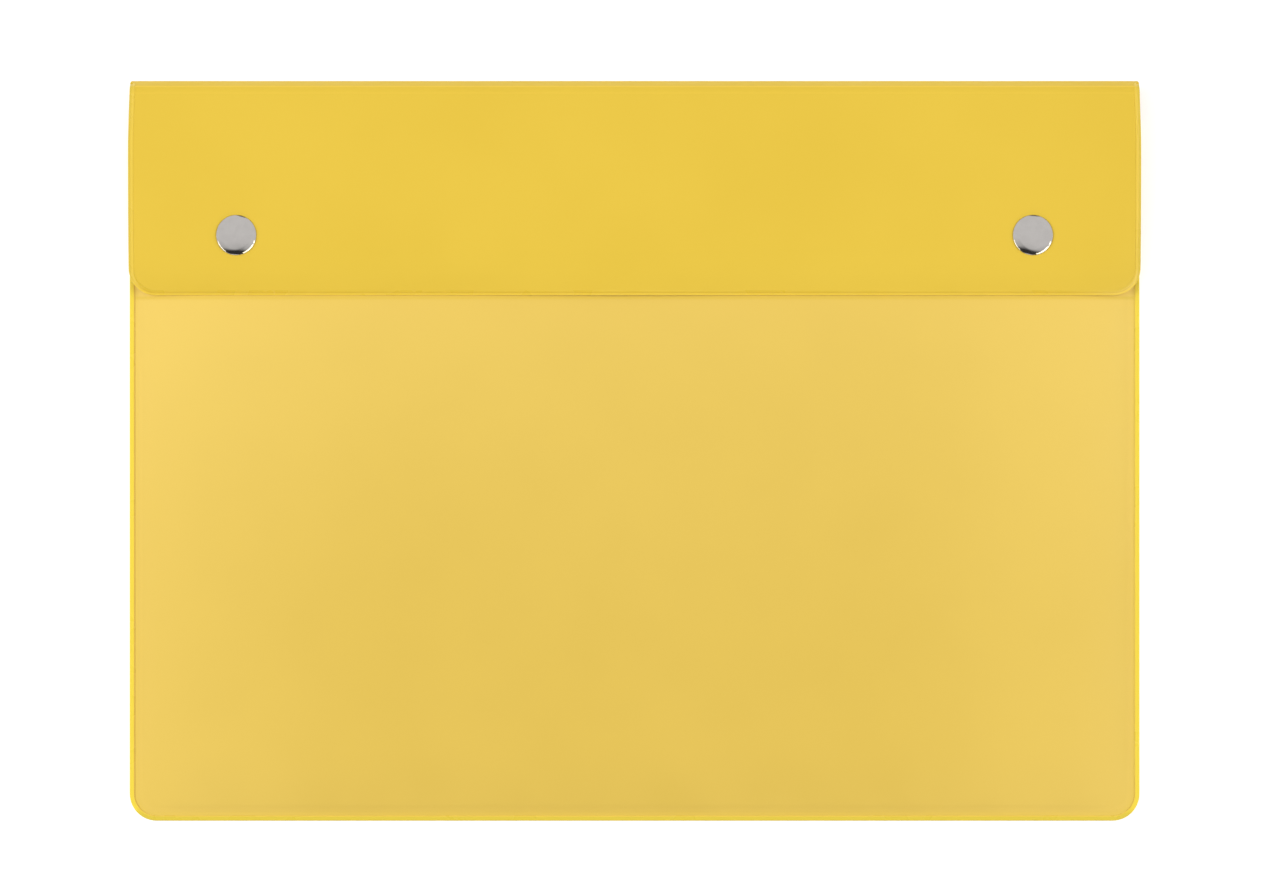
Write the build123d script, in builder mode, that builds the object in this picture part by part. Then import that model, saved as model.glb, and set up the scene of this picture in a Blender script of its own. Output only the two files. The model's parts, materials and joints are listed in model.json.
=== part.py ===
from build123d import *

import os
from math import asin, cos, degrees, radians, sin, sqrt, tan

# A4 press-stud document wallet, lying flat with its front face up.
# X runs across the wallet, +Y points to the fold, Z = 0 is the outer face of the back sheet.
# The origin is the middle of the bounding box, on the table. Millimetres.

# Cover sheet (back, fold and flap in one), front sheet and their welded rims
body_width = 318.0
body_height = 233.0
corner_radius = 8.5
weld_width = 1.7
weld_round = 0.25
cover_thickness = 0.4
front_thickness = 0.3
lining_thickness = 0.25

# Pocket: clear height inside, and how far the mouth lies below the outermost line of the fold
pocket_gap = 4.3
mouth_drop = 12.5
tray_steps = 3

# Flap: the snaps lie below the outermost line of the fold, the free edge below the snaps
stud_drop = 48.8
flap_overhang = 18.6
flap_corner_radius = 8.0
droop_radius = 58.0
droop_margin = 0.5

# Fold: a half round that stands as flat slats between creases
slat_count = 2
fold_gap = 0.1

# Snap places: in from the cut edge, with a level margin round each stud's base
stud_inset = 34.0
stud_flat = 5.5

# Snap stud and the eyelet that clamps it to the front sheet
stud_base_diameter = 9.6
stud_base = 0.45
stud_neck_diameter = 3.6
stud_head_overhang = 0.5
stud_head_height = 0.65
stud_head_round = 0.22
stud_cone = 0.2
stud_wall = 0.35
eyelet_flange_diameter = 8.6
eyelet_flange = 0.35
eyelet_wall = 0.4
eyelet_clearance = 0.05

# Snap socket and its wire spring
socket_diameter = 10.6
socket_wall = 0.35
socket_plate = 0.3
socket_lip = 0.3
socket_round = 0.28
mouth_clearance = 0.45
spring_wire = 0.5
spring_play = 0.05
snap_clearance = 0.05
head_room = 0.1

# Cap and the rivet that clamps cap, flap, lining and socket together
cap_diameter = 12.7
cap_foot_round = 0.28
cap_side = 0.15
cap_shoulder = 0.6
cap_crown = 0.3
cap_wall = 0.3
cap_lip = 1.1
rivet_flange = 0.3
rivet_play = 0.35
rivet_diameter = 3.8
rivet_wall = 0.4
rivet_flare_diameter = 5.2
rivet_flare = 0.25
hole_clearance = 0.1

# Radii shared by the pieces of a snap
hole_radius = rivet_diameter / 2 + hole_clearance
stud_bore = stud_neck_diameter / 2 - stud_wall
stud_head = stud_neck_diameter / 2 + stud_head_overhang
eyelet_radius = stud_bore - eyelet_clearance
eyelet_hole = eyelet_radius + hole_clearance
socket_mouth = stud_head + mouth_clearance
socket_cavity = socket_diameter / 2 - socket_wall
cap_radius = cap_diameter / 2
cap_inner = cap_radius - cap_wall

# Plan of the wallet
half_width = body_width / 2
fold_line = body_height / 2
bottom_line = -body_height / 2
mouth_line = fold_line - mouth_drop
snap_line = fold_line - stud_drop
droop_line = snap_line - cap_radius - droop_margin
flap_line = snap_line - flap_overhang
droop_turn = degrees(asin((droop_line - flap_line + weld_width) / droop_radius))
snap_x = half_width - stud_inset
snaps = {"left": -snap_x, "right": snap_x}
margin_width = stud_inset - weld_width - stud_base_diameter / 2 - stud_flat
beyond_line = fold_line + margin_width + weld_width + corner_radius

# Heights, from the table up through the closed snap
front_low = cover_thickness + pocket_gap
front_top = front_low + front_thickness
stud_top = front_top + stud_base
socket_low = stud_top + snap_clearance
spring_low = socket_low + socket_lip + spring_play
head_low = spring_low + spring_wire + spring_play
head_top = head_low + stud_head_height
stud_bore_top = head_top - stud_wall
flare_low = head_top + head_room
plate_low = flare_low + rivet_flare
lining_low = plate_low + socket_plate
flap_low = lining_low + lining_thickness
flap_top = flap_low + cover_thickness
flange_low = flap_top + cap_wall
shoulder_top = flap_top + cap_foot_round + cap_side + cap_shoulder
cap_top = shoulder_top + cap_crown

# Fold: every crease turns the sheet by the same angle, and a half round touches every slat
fold_radius = flap_top / 2
fold_inner = fold_radius - cover_thickness
crease_turn = 180.0 / (slat_count + 1)
crease_tangent = tan(radians(crease_turn / 2))
crease_reach = fold_radius / cos(radians(crease_turn / 2))
fold_reach = max(crease_reach * sin(radians(crease_turn * (i + 0.5))) for i in range(slat_count + 1))
fold_centre = fold_line - fold_reach
slat_outer = fold_radius * crease_tangent - fold_gap / 2
slat_inner = fold_inner * crease_tangent - fold_gap / 2
crease_cut = fold_centre + slat_inner

os.makedirs("parts", exist_ok=True)


def save(piece, name):
    """Labels a finished piece and writes it to its own file."""
    piece.part.label = name
    export_step(piece.part, f"parts/{name}.step")


def plan_outline(low_line, inset, radius):
    """Adds a plan outline with round lower corners, whose upper end runs past the fold."""
    with Locations((0, (beyond_line + low_line) / 2)):
        RectangleRounded(body_width - 2 * inset, beyond_line - low_line - 2 * inset, radius)


def pocket_outline(inset):
    """Adds the pocket's plan outline, drawn in by the inset."""
    plan_outline(bottom_line, inset, corner_radius - inset)


def flap_outline(inset):
    """Adds the flap's plan outline, drawn in by the inset."""
    plan_outline(flap_line, inset, flap_corner_radius - inset)


def flap_layer(top, thickness):
    """Adds the side view of one layer of the flap: level, then drooping on past its free edge."""
    tips = []
    for level in (top, top - thickness):
        Line((crease_cut, level), (droop_line, level))
        droop = JernArc((droop_line, level), (-1, 0), droop_radius, droop_turn)
        tips.append(droop @ 1)
    Line(*tips)
    Line((crease_cut, top), (crease_cut, top - thickness))


def snap_holes(radius):
    """Adds a circle in plan at each snap."""
    with Locations(*((x, snap_line) for x in snaps.values())):
        Circle(radius)


def snap_section(x):
    """Returns the upright plane through a snap, with the snap's axis as its vertical."""
    return Plane(origin=(x, snap_line, 0), x_dir=(1, 0, 0), z_dir=(0, -1, 0))


def snap_axis(x):
    """Returns the upright axis that a snap's pieces are turned round."""
    return Axis((x, snap_line, 0), (0, 0, 1))


# Back sheet: out to the weld below the mouth, and to the cut edge above it
with BuildPart() as back_panel:
    with BuildSketch():
        pocket_outline(weld_width)
        with Locations((0, mouth_line)):
            Rectangle(body_width, beyond_line, align=(Align.CENTER, Align.MIN), mode=Mode.SUBTRACT)
            Rectangle(body_width, crease_cut - mouth_line, align=(Align.CENTER, Align.MIN))
    extrude(amount=cover_thickness)
save(back_panel, "back_panel")

# Front sheet: a shallow tray that is open at the mouth, with a hole under each stud
mouth_plane = Plane(origin=(0, mouth_line, 0), z_dir=(0, 1, 0))
with BuildPart() as front_panel:
    with BuildSketch(Plane.XY.offset(cover_thickness)):
        pocket_outline(weld_width)
    extrude(amount=front_thickness)
    for foot, mode in ((cover_thickness + front_thickness, Mode.ADD), (cover_thickness, Mode.SUBTRACT)):
        for step in range(tray_steps + 1):
            share = step / tray_steps
            with BuildSketch(Plane.XY.offset(foot + pocket_gap * share * (2 - share))):
                plan_outline(bottom_line, weld_width + margin_width * share, corner_radius - weld_width)
        loft(mode=mode)
    split(bisect_by=mouth_plane, keep=Keep.BOTTOM)
    with BuildSketch():
        snap_holes(eyelet_hole)
    extrude(amount=cap_top, mode=Mode.SUBTRACT)
save(front_panel, "front_panel")

# Welded rim where the front and back sheets are melted together
with BuildPart() as edge_weld:
    with BuildSketch():
        pocket_outline(0)
    extrude(amount=cover_thickness + front_thickness)
    fillet(edge_weld.faces().sort_by(Axis.Z)[-1].edges(), weld_round)
    with BuildSketch():
        pocket_outline(weld_width)
    extrude(amount=cover_thickness + front_thickness, mode=Mode.SUBTRACT)
    split(bisect_by=mouth_plane, keep=Keep.BOTTOM)
save(edge_weld, "edge_weld")

# Fold: flat slats round the half circle from the back sheet up to the flap
for slat in range(1, slat_count + 1):
    lean = radians(crease_turn * slat)
    slat_plane = Plane((0, fold_centre, fold_radius), x_dir=(0, cos(lean), sin(lean)), z_dir=(1, 0, 0))
    with BuildPart() as fold_strip:
        with BuildSketch(slat_plane):
            with BuildLine():
                Polyline(
                    (-slat_outer, -fold_radius),
                    (slat_outer, -fold_radius),
                    (slat_inner, -fold_inner),
                    (-slat_inner, -fold_inner),
                    close=True,
                )
            make_face()
        extrude(amount=half_width, both=True)
    save(fold_strip, f"fold_strip_{slat}")

# Flap sheet, inside its welded rim
with BuildPart() as flap_panel:
    with BuildSketch(Plane.YZ):
        with BuildLine():
            flap_layer(flap_top, cover_thickness)
        make_face()
    extrude(amount=half_width, both=True)
    with BuildSketch():
        flap_outline(weld_width)
    extrude(amount=cap_top, mode=Mode.INTERSECT)
    with BuildSketch():
        snap_holes(hole_radius)
    extrude(amount=cap_top, mode=Mode.SUBTRACT)
save(flap_panel, "flap_panel")

# Lining under the flap sheet
with BuildPart() as flap_lining:
    with BuildSketch(Plane.YZ):
        with BuildLine():
            flap_layer(flap_low, lining_thickness)
        make_face()
    extrude(amount=half_width, both=True)
    with BuildSketch():
        flap_outline(weld_width)
    extrude(amount=cap_top, mode=Mode.INTERSECT)
    with BuildSketch():
        snap_holes(hole_radius)
    extrude(amount=cap_top, mode=Mode.SUBTRACT)
save(flap_lining, "flap_lining")

# Welded rim where the flap sheet and its lining are melted together
with BuildPart() as flap_edge_weld:
    with BuildSketch(Plane.YZ):
        with BuildLine():
            flap_layer(flap_top, cover_thickness + lining_thickness)
        make_face()
    extrude(amount=half_width, both=True)
    with BuildSketch():
        flap_outline(0)
    extrude(amount=cap_top, mode=Mode.INTERSECT)
    with BuildSketch():
        flap_outline(weld_width)
    extrude(amount=cap_top, mode=Mode.SUBTRACT)
save(flap_edge_weld, "flap_edge_weld")

for side, x in snaps.items():
    # Cap: a thin domed shell whose rim turns in under the rivet's flange
    with BuildPart() as cap:
        with BuildSketch(snap_section(x)) as cap_face:
            with BuildLine():
                Line((0, flap_top), (cap_radius, flap_top))
                Line((cap_radius, flap_top), (cap_radius, shoulder_top))
                TangentArc((0, cap_top), (cap_radius, shoulder_top), tangent=(1, 0))
                Line((0, cap_top), (0, flap_top))
            make_face()
            foot, shoulder = cap_face.vertices().group_by(Axis.X)[-1].sort_by(Axis.Y)
            fillet(foot, cap_foot_round)
            fillet(shoulder, cap_shoulder)
        revolve(axis=snap_axis(x))
        with BuildSketch(snap_section(x)) as cap_hollow:
            with BuildLine():
                Line((0, flange_low), (cap_inner, flange_low))
                Line((cap_inner, flange_low), (cap_inner, shoulder_top - cap_wall))
                TangentArc((0, cap_top - cap_wall), (cap_inner, shoulder_top - cap_wall), tangent=(1, 0))
                Line((0, cap_top - cap_wall), (0, flange_low))
            make_face()
            shoulder = cap_hollow.vertices().group_by(Axis.X)[-1].sort_by(Axis.Y)[-1]
            fillet(shoulder, cap_shoulder - cap_wall)
        revolve(axis=snap_axis(x), mode=Mode.SUBTRACT)
        with BuildSketch(Plane((x, snap_line, flap_top))):
            Circle(cap_radius - cap_lip)
        extrude(amount=cap_wall, mode=Mode.SUBTRACT)
    save(cap, f"cap_{side}")

    # Rivet: a flange inside the cap, and a hollow post flared inside the socket
    with BuildPart() as cap_rivet:
        flange_radius = cap_inner - rivet_play
        bore = rivet_diameter / 2 - rivet_wall
        with BuildSketch(snap_section(x)):
            with BuildLine():
                Polyline(
                    (0, flange_low),
                    (bore, flange_low),
                    (bore, flare_low),
                    (rivet_flare_diameter / 2, flare_low),
                    (rivet_flare_diameter / 2, plate_low),
                    (rivet_diameter / 2, plate_low),
                    (rivet_diameter / 2, flange_low),
                    (flange_radius, flange_low),
                    (flange_radius, flange_low + rivet_flange),
                    (0, flange_low + rivet_flange),
                    close=True,
                )
            make_face()
        revolve(axis=snap_axis(x))
    save(cap_rivet, f"cap_rivet_{side}")

    # Socket: a cup under the lining, whose lower lip carries the spring
    with BuildPart() as socket:
        with BuildSketch(snap_section(x)) as socket_face:
            with BuildLine():
                Polyline(
                    (hole_radius, lining_low),
                    (socket_diameter / 2, lining_low),
                    (socket_diameter / 2, socket_low),
                    (socket_mouth, socket_low),
                    (socket_mouth, socket_low + socket_lip),
                    (socket_cavity, socket_low + socket_lip),
                    (socket_cavity, plate_low),
                    (hole_radius, plate_low),
                    close=True,
                )
            make_face()
            fillet(socket_face.vertices().group_by(Axis.X)[-1], socket_round)
        revolve(axis=snap_axis(x))
    save(socket, f"socket_{side}")

    # Spring: a hairpin of round wire, one leg each side of the stud's neck
    with BuildPart() as socket_spring:
        leg = stud_neck_diameter / 2 + spring_play + spring_wire / 2
        reach = socket_cavity - spring_play
        bend_line = snap_line + reach - leg - spring_wire / 2
        tip_line = snap_line - sqrt(reach**2 - (leg + spring_wire / 2) ** 2)
        with BuildLine(Plane.XY.offset(spring_low + spring_wire / 2)) as hairpin:
            Line((x - leg, tip_line), (x - leg, bend_line))
            ThreePointArc((x - leg, bend_line), (x, bend_line + leg), (x + leg, bend_line))
            Line((x + leg, bend_line), (x + leg, tip_line))
        with BuildSketch(Plane(origin=hairpin.line @ 0, z_dir=hairpin.line % 0)):
            Circle(spring_wire / 2)
        sweep()
    save(socket_spring, f"socket_spring_{side}")

    # Stud: a hollow knob on the front sheet, narrow where the spring grips it
    with BuildPart() as stud:
        with BuildSketch(snap_section(x)) as stud_face:
            with BuildLine():
                Polyline(
                    (stud_bore, front_top),
                    (stud_base_diameter / 2, front_top),
                    (stud_base_diameter / 2, stud_top),
                    (stud_neck_diameter / 2, stud_top),
                    (stud_neck_diameter / 2, head_low),
                    (stud_head, head_low + stud_cone),
                    (stud_head, head_top),
                    (0, head_top),
                    (0, stud_bore_top),
                    (stud_bore, stud_bore_top),
                    close=True,
                )
            make_face()
            fillet(stud_face.vertices().group_by(Axis.Y)[-1].sort_by(Axis.X)[-1], stud_head_round)
        revolve(axis=snap_axis(x))
    save(stud, f"stud_{side}")

    # Eyelet: a flange inside the pocket, with a tube up into the stud
    with BuildPart() as stud_eyelet:
        with BuildSketch(snap_section(x)):
            with BuildLine():
                Polyline(
                    (eyelet_radius - eyelet_wall, front_low - eyelet_flange),
                    (eyelet_flange_diameter / 2, front_low - eyelet_flange),
                    (eyelet_flange_diameter / 2, front_low),
                    (eyelet_radius, front_low),
                    (eyelet_radius, stud_bore_top - eyelet_clearance),
                    (eyelet_radius - eyelet_wall, stud_bore_top - eyelet_clearance),
                    close=True,
                )
            make_face()
        revolve(axis=snap_axis(x))
    save(stud_eyelet, f"stud_eyelet_{side}")
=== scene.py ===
"""Looks of a yellow press-stud document wallet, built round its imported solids.

The wallet lies closed on its back: X runs across it, +Y points to the fold and +Z rises out of its front.
Lengths are metres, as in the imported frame.
"""

import json
import logging
import math
from collections.abc import Callable, Sequence
from dataclasses import dataclass, field
from enum import Enum

import bmesh
import bpy
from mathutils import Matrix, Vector

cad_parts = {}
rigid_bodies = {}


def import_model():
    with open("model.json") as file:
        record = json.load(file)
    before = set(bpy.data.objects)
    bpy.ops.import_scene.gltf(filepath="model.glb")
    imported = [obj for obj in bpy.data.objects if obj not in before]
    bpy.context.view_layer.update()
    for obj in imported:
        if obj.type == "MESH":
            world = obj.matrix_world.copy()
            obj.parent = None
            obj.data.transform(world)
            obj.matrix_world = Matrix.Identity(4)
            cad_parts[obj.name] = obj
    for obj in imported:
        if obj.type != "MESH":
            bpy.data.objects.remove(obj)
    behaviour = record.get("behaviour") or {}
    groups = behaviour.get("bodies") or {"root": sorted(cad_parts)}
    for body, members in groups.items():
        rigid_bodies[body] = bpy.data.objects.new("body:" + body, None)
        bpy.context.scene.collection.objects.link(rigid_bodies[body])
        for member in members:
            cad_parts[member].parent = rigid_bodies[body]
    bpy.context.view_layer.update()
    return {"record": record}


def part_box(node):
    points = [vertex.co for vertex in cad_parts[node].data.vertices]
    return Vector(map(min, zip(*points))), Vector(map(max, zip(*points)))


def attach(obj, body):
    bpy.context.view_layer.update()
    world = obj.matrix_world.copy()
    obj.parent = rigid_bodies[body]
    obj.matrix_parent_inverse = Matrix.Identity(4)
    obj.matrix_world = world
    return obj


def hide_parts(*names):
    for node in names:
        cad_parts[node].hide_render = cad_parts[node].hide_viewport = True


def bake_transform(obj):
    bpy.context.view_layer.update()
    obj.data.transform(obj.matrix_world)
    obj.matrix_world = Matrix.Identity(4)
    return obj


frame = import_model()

MM = 0.001
FLAT_MAP = "FlatSheet"
EDGE_MAP = "CutEdge"
SHARP_ANGLE = math.radians(60)
MERGE_DISTANCE = 1e-8

# Spread of soft noise, and octaves of finer noise in a smooth, a plain, a soft and a rich one
NOISE_SPAN = (0.3, 0.7)
SMOOTH_DETAIL = 1.5
PLAIN_DETAIL = 2.0
SOFT_DETAIL = 3.0
RICH_DETAIL = 4.0

# Places of the colour sockets on Blender's mix node
MIX_INPUTS = (6, 7)
MIX_OUTPUT = 2

GLINT_COLOUR = (1.0, 0.94, 0.7)

Colour = tuple[float, float, float]
Point2 = tuple[float, float]
Point3 = tuple[float, float, float]
Socket = bpy.types.NodeSocket

log = logging.getLogger("wallet")


class Body(Enum):
    """Bodies that the pieces move with."""

    POCKET = "pocket"
    FOLD_LOW = "fold_low"
    FOLD_HIGH = "fold_high"
    FLAP = "flap"


class Slot(Enum):
    """Material slots of the record, named beside the new pieces but not given to them."""

    COVER = "cover_sheet"
    LINING = "flap_lining"
    FRONT = "front_sheet"
    RIM = "welded_rim"
    CAP = "cap_metal"
    SNAP = "snap_metal"


class Side(Enum):
    """The two snaps, as their nodes name them."""

    LEFT = "left"
    RIGHT = "right"


class Place(Enum):
    """Coordinates of a finish: on the flat sheet, by distance from its cut edge, or in the solid."""

    SHEET = FLAT_MAP
    EDGE = EDGE_MAP
    SOLID = "Object"


class LampUse(Enum):
    """What a lamp does: soft light that no mirror shows, or a glint that only mirrors show."""

    SOFT = "soft"
    GLINT = "glint"


def ease(share: float) -> float:
    """Eases a share from 0 to 1, level at both ends and held outside them."""
    held = min(max(share, 0.0), 1.0)
    return held * held * (3.0 - 2.0 * held)


def spread(first: float, last: float, step: float) -> list[float]:
    """Spaces values evenly between two ends.

    Args:
        first: First value.
        last: Last value.
        step: Widest spacing allowed.

    Returns:
        The values, both ends among them.
    """
    count = max(1, math.ceil(abs(last - first) / step))
    return [first + (last - first) * i / count for i in range(count + 1)]


def rounded(corners: Sequence[Point3], steps: int = 5) -> list[Point2]:
    """Rounds the corners of a closed outline.

    Args:
        corners: Across, up and rounding radius of each corner, in order.
        steps: Straight pieces in each rounding.

    Returns:
        The points of the rounded outline.
    """
    points: list[Point2] = []
    for i, (across, up, radius) in enumerate(corners):
        here = Vector((across, up))
        before = (Vector(corners[i - 1][:2]) - here).normalized()
        after = (Vector(corners[(i + 1) % len(corners)][:2]) - here).normalized()
        half_angle = before.angle(after) / 2
        if radius <= 0.0:
            points.append((across, up))
            continue
        reach = radius / math.tan(half_angle)
        centre = here + (before + after).normalized() * radius / math.sin(half_angle)
        first = here + before * reach - centre
        last = here + after * reach - centre
        turn = first.angle_signed(last)
        for k in range(steps + 1):
            angle = -turn * k / steps
            spun = Vector((
                first.x * math.cos(angle) - first.y * math.sin(angle),
                first.x * math.sin(angle) + first.y * math.cos(angle),
            ))
            points.append(tuple(centre + spun))
    return points


def skin(name: str, loops: Sequence[Sequence[Vector]], flat: Sequence[Sequence[Point2]],
         edge: Sequence[Sequence[float]] = (), ring: bool = False) -> bpy.types.Object:
    """Makes a closed mesh by joining matching loops of points, one after another.

    Args:
        name: Name of the piece.
        loops: Closed loops round the piece's section, all with the same even number of points.
        flat: Place of each point on the flat sheet, which the finish follows.
        edge: Distance of each point from the cut edge, where the finish follows that too.
        ring: True where the last loop joins the first, so that there are no ends to close.

    Returns:
        The new object, linked to the scene.
    """
    mesh = bmesh.new()
    rows = [[mesh.verts.new(point) for point in loop] for loop in loops]
    count = len(rows[0])
    pairs = list(zip(rows, rows[1:]))
    if ring:
        pairs.append((rows[-1], rows[0]))
    for row, following in pairs:
        for k in range(count):
            after = (k + 1) % count
            mesh.faces.new((row[k], row[after], following[after], following[k]))
    if not ring:
        for row in (rows[0], rows[-1]):
            for k in range(count // 2 - 1):
                mesh.faces.new((row[k], row[k + 1], row[count - 2 - k], row[count - 1 - k]))
    maps = {FLAT_MAP: flat}
    if edge:
        maps[EDGE_MAP] = [[(distance, 0.0) for distance in line] for line in edge]
    for label, places in maps.items():
        layer = mesh.loops.layers.uv.new(label)
        marks = {vert: mark for row, line in zip(rows, places) for vert, mark in zip(row, line)}
        for face in mesh.faces:
            face.smooth = True
            for corner in face.loops:
                corner[layer].uv = marks[corner.vert]
    bmesh.ops.remove_doubles(mesh, verts=mesh.verts, dist=MERGE_DISTANCE)
    bmesh.ops.recalc_face_normals(mesh, faces=mesh.faces)
    for ridge in mesh.edges:
        ridge.smooth = ridge.calc_face_angle(0.0) < SHARP_ANGLE
    data = bpy.data.meshes.new(name)
    mesh.to_mesh(data)
    mesh.free()
    piece = bpy.data.objects.new(name, data)
    bpy.context.scene.collection.objects.link(piece)
    return piece


def lathe(name: str, centre: Point2, profile: Sequence[Point2], segments: int = 96) -> bpy.types.Object:
    """Turns a closed profile round an upright axis.

    Args:
        name: Name of the piece.
        centre: Plan position of the axis.
        profile: Radius and height of each point of the profile.
        segments: Faces round the axis.

    Returns:
        The new object.
    """
    loops = []
    flat = []
    for i in range(segments):
        angle = math.tau * i / segments
        spoke = Vector((math.cos(angle), math.sin(angle), 0.0))
        loops.append([Vector((*centre, height)) + spoke * radius for radius, height in profile])
        flat.append([(radius * spoke.x, radius * spoke.y) for radius, _ in profile])
    return skin(name, loops, flat, ring=True)


def dress(piece: bpy.types.Object, material: bpy.types.Material) -> None:
    """Gives a piece its one material."""
    piece.data.materials.clear()
    piece.data.materials.append(material)


def settle(piece: bpy.types.Object, material: bpy.types.Material, slot: Slot, nodes: Sequence[str]) -> None:
    """Dresses a new piece, hides the solids that it takes the place of, and logs them.

    Args:
        piece: The new piece.
        material: Its finish.
        slot: The record's slot for that finish; not used.
        nodes: The solids that it takes the place of.
    """
    dress(piece, material)
    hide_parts(*nodes)
    log.info("%s: %d faces, for %s", piece.name, len(piece.data.polygons), ", ".join(nodes))


class Wiring:
    """A node tree, with short calls that add and join its nodes."""

    def __init__(self, tree: bpy.types.NodeTree) -> None:
        """Takes the tree to work on."""
        self.tree = tree

    def add(self, kind: str) -> bpy.types.Node:
        """Adds a node of a kind."""
        return self.tree.nodes.new(kind)

    def join(self, source: Socket, target: Socket) -> None:
        """Links an output to an input."""
        self.tree.links.new(source, target)

    def feed(self, target: Socket, value: Socket | float | Sequence[float]) -> None:
        """Links a socket to an input, or sets a plain value on it.

        Args:
            target: The input.
            value: Socket to link, or number or colour to set.
        """
        if isinstance(value, Socket):
            self.join(value, target)
        else:
            target.default_value = value

    def place(self, kind: Place) -> Socket:
        """Finds the coordinates to lay a finish out in.

        Args:
            kind: Which coordinates.

        Returns:
            The coordinates, in metres.
        """
        if kind is Place.SOLID:
            return self.add("ShaderNodeTexCoord").outputs[kind.value]
        node = self.add("ShaderNodeUVMap")
        node.uv_map = kind.value
        return node.outputs["UV"]

    def stretch(self, place: Socket, scale: Point3) -> Socket:
        """Scales coordinates apart along each axis.

        Args:
            place: Coordinates to scale.
            scale: Factor along each axis.

        Returns:
            The scaled coordinates.
        """
        node = self.add("ShaderNodeMapping")
        node.inputs["Scale"].default_value = scale
        self.join(place, node.inputs["Vector"])
        return node.outputs["Vector"]

    def noise(self, place: Socket, size: float, detail: float = PLAIN_DETAIL) -> Socket:
        """Returns soft noise from 0 to 1.

        Args:
            place: Coordinates in metres.
            size: Length of one feature, in metres.
            detail: Octaves of finer noise.

        Returns:
            The noise value.
        """
        node = self.add("ShaderNodeTexNoise")
        self.join(place, node.inputs["Vector"])
        node.inputs["Scale"].default_value = 1.0 / size
        node.inputs["Detail"].default_value = detail
        return node.outputs["Fac"]

    def grade(self, value: Socket, start: float, end: float, low: float = 0.0, high: float = 1.0,
              smooth: bool = True) -> Socket:
        """Maps a value onto another range.

        Args:
            value: Value to map.
            start: Value that gives low.
            end: Value that gives high.
            low: Lower result.
            high: Upper result.
            smooth: True to ease at both ends, False for a straight ramp.

        Returns:
            The mapped value, held at its ends.
        """
        node = self.add("ShaderNodeMapRange")
        node.interpolation_type = "SMOOTHSTEP" if smooth else "LINEAR"
        self.join(value, node.inputs["Value"])
        for socket, number in (("From Min", start), ("From Max", end), ("To Min", low), ("To Max", high)):
            node.inputs[socket].default_value = number
        return node.outputs["Result"]

    def sum(self, operation: str, first: Socket | float, second: Socket | float = 0.0) -> Socket:
        """Works out a sum of one or two values.

        Args:
            operation: Blender's name of the operation.
            first: First value.
            second: Second value.

        Returns:
            The result.
        """
        node = self.add("ShaderNodeMath")
        node.operation = operation
        self.feed(node.inputs[0], first)
        self.feed(node.inputs[1], second)
        return node.outputs["Value"]

    def parts(self, place: Socket) -> tuple[Socket, Socket]:
        """Splits coordinates.

        Args:
            place: Coordinates to split.

        Returns:
            Their across and along values.
        """
        node = self.add("ShaderNodeSeparateXYZ")
        self.join(place, node.inputs["Vector"])
        return node.outputs["X"], node.outputs["Y"]

    def line(self, value: Socket, at: float, half: float) -> Socket:
        """Returns 1 on a line where a value is reached, fading to 0 at a half width beside it."""
        return self.grade(self.sum("ABSOLUTE", self.sum("SUBTRACT", value, at)), 0.0, half, 1.0, 0.0)

    def tint(self, share: Socket, low: Socket | Colour, high: Socket | Colour) -> Socket:
        """Mixes from one colour to another.

        Args:
            share: Share of the second colour.
            low: First colour, plain or from another node.
            high: Second colour, plain or from another node.

        Returns:
            The mixed colour.
        """
        node = self.add("ShaderNodeMix")
        node.data_type = "RGBA"
        self.join(share, node.inputs[0])
        for place, colour in zip(MIX_INPUTS, (low, high)):
            self.feed(node.inputs[place], colour if isinstance(colour, Socket) else (*colour, 1.0))
        return node.outputs[MIX_OUTPUT]

    def bump(self, height: Socket, depth: float, strength: float, under: Socket | None = None) -> Socket:
        """Returns a normal that follows fine relief.

        Args:
            height: Relief from 0 to 1.
            depth: Height of the relief, in metres.
            strength: Share of the relief that shows.
            under: Coarser relief that this one lies on.

        Returns:
            The normal.
        """
        node = self.add("ShaderNodeBump")
        node.inputs["Strength"].default_value = strength
        node.inputs["Distance"].default_value = depth
        self.join(height, node.inputs["Height"])
        if under is not None:
            self.join(under, node.inputs["Normal"])
        return node.outputs["Normal"]

    def shown(self, low: float, high: float) -> Socket:
        """Returns a strength that depends on what a ray is for.

        Args:
            low: Strength for rays that only light.
            high: Strength for rays that show a thing: seen straight, mirrored or through.

        Returns:
            The strength.
        """
        path = self.add("ShaderNodeLightPath")
        value = path.outputs["Is Camera Ray"]
        for name in ("Is Glossy Ray", "Is Transmission Ray"):
            value = self.sum("MAXIMUM", value, path.outputs[name])
        return self.grade(value, 0.0, 1.0, low, high)


class Shader(Wiring):
    """Node tree of one material."""

    def __init__(self, name: str) -> None:
        """Starts a material that holds only its output.

        Args:
            name: Name of the material.
        """
        self.material = bpy.data.materials.new(name)
        self.material.use_nodes = True
        super().__init__(self.material.node_tree)
        self.tree.nodes.clear()
        self.output = self.add("ShaderNodeOutputMaterial")

    def show(self, surface: Socket) -> bpy.types.Material:
        """Joins a surface to the output and returns the finished material."""
        self.join(surface, self.output.inputs["Surface"])
        return self.material

    def coat(self, colour: Socket, roughness: Socket, normal: Socket,
             plain: dict[str, float]) -> bpy.types.Material:
        """Adds the surface.

        Args:
            colour: Its colour.
            roughness: Its roughness.
            normal: Its normal, with the fine relief.
            plain: Values set directly on its other inputs.

        Returns:
            The finished material.
        """
        surface = self.add("ShaderNodeBsdfPrincipled")
        inputs = {"Base Color": colour, "Roughness": roughness, "Normal": normal, **plain}
        for name, value in inputs.items():
            self.feed(surface.inputs[name], value)
        return self.show(surface.outputs["BSDF"])


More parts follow.
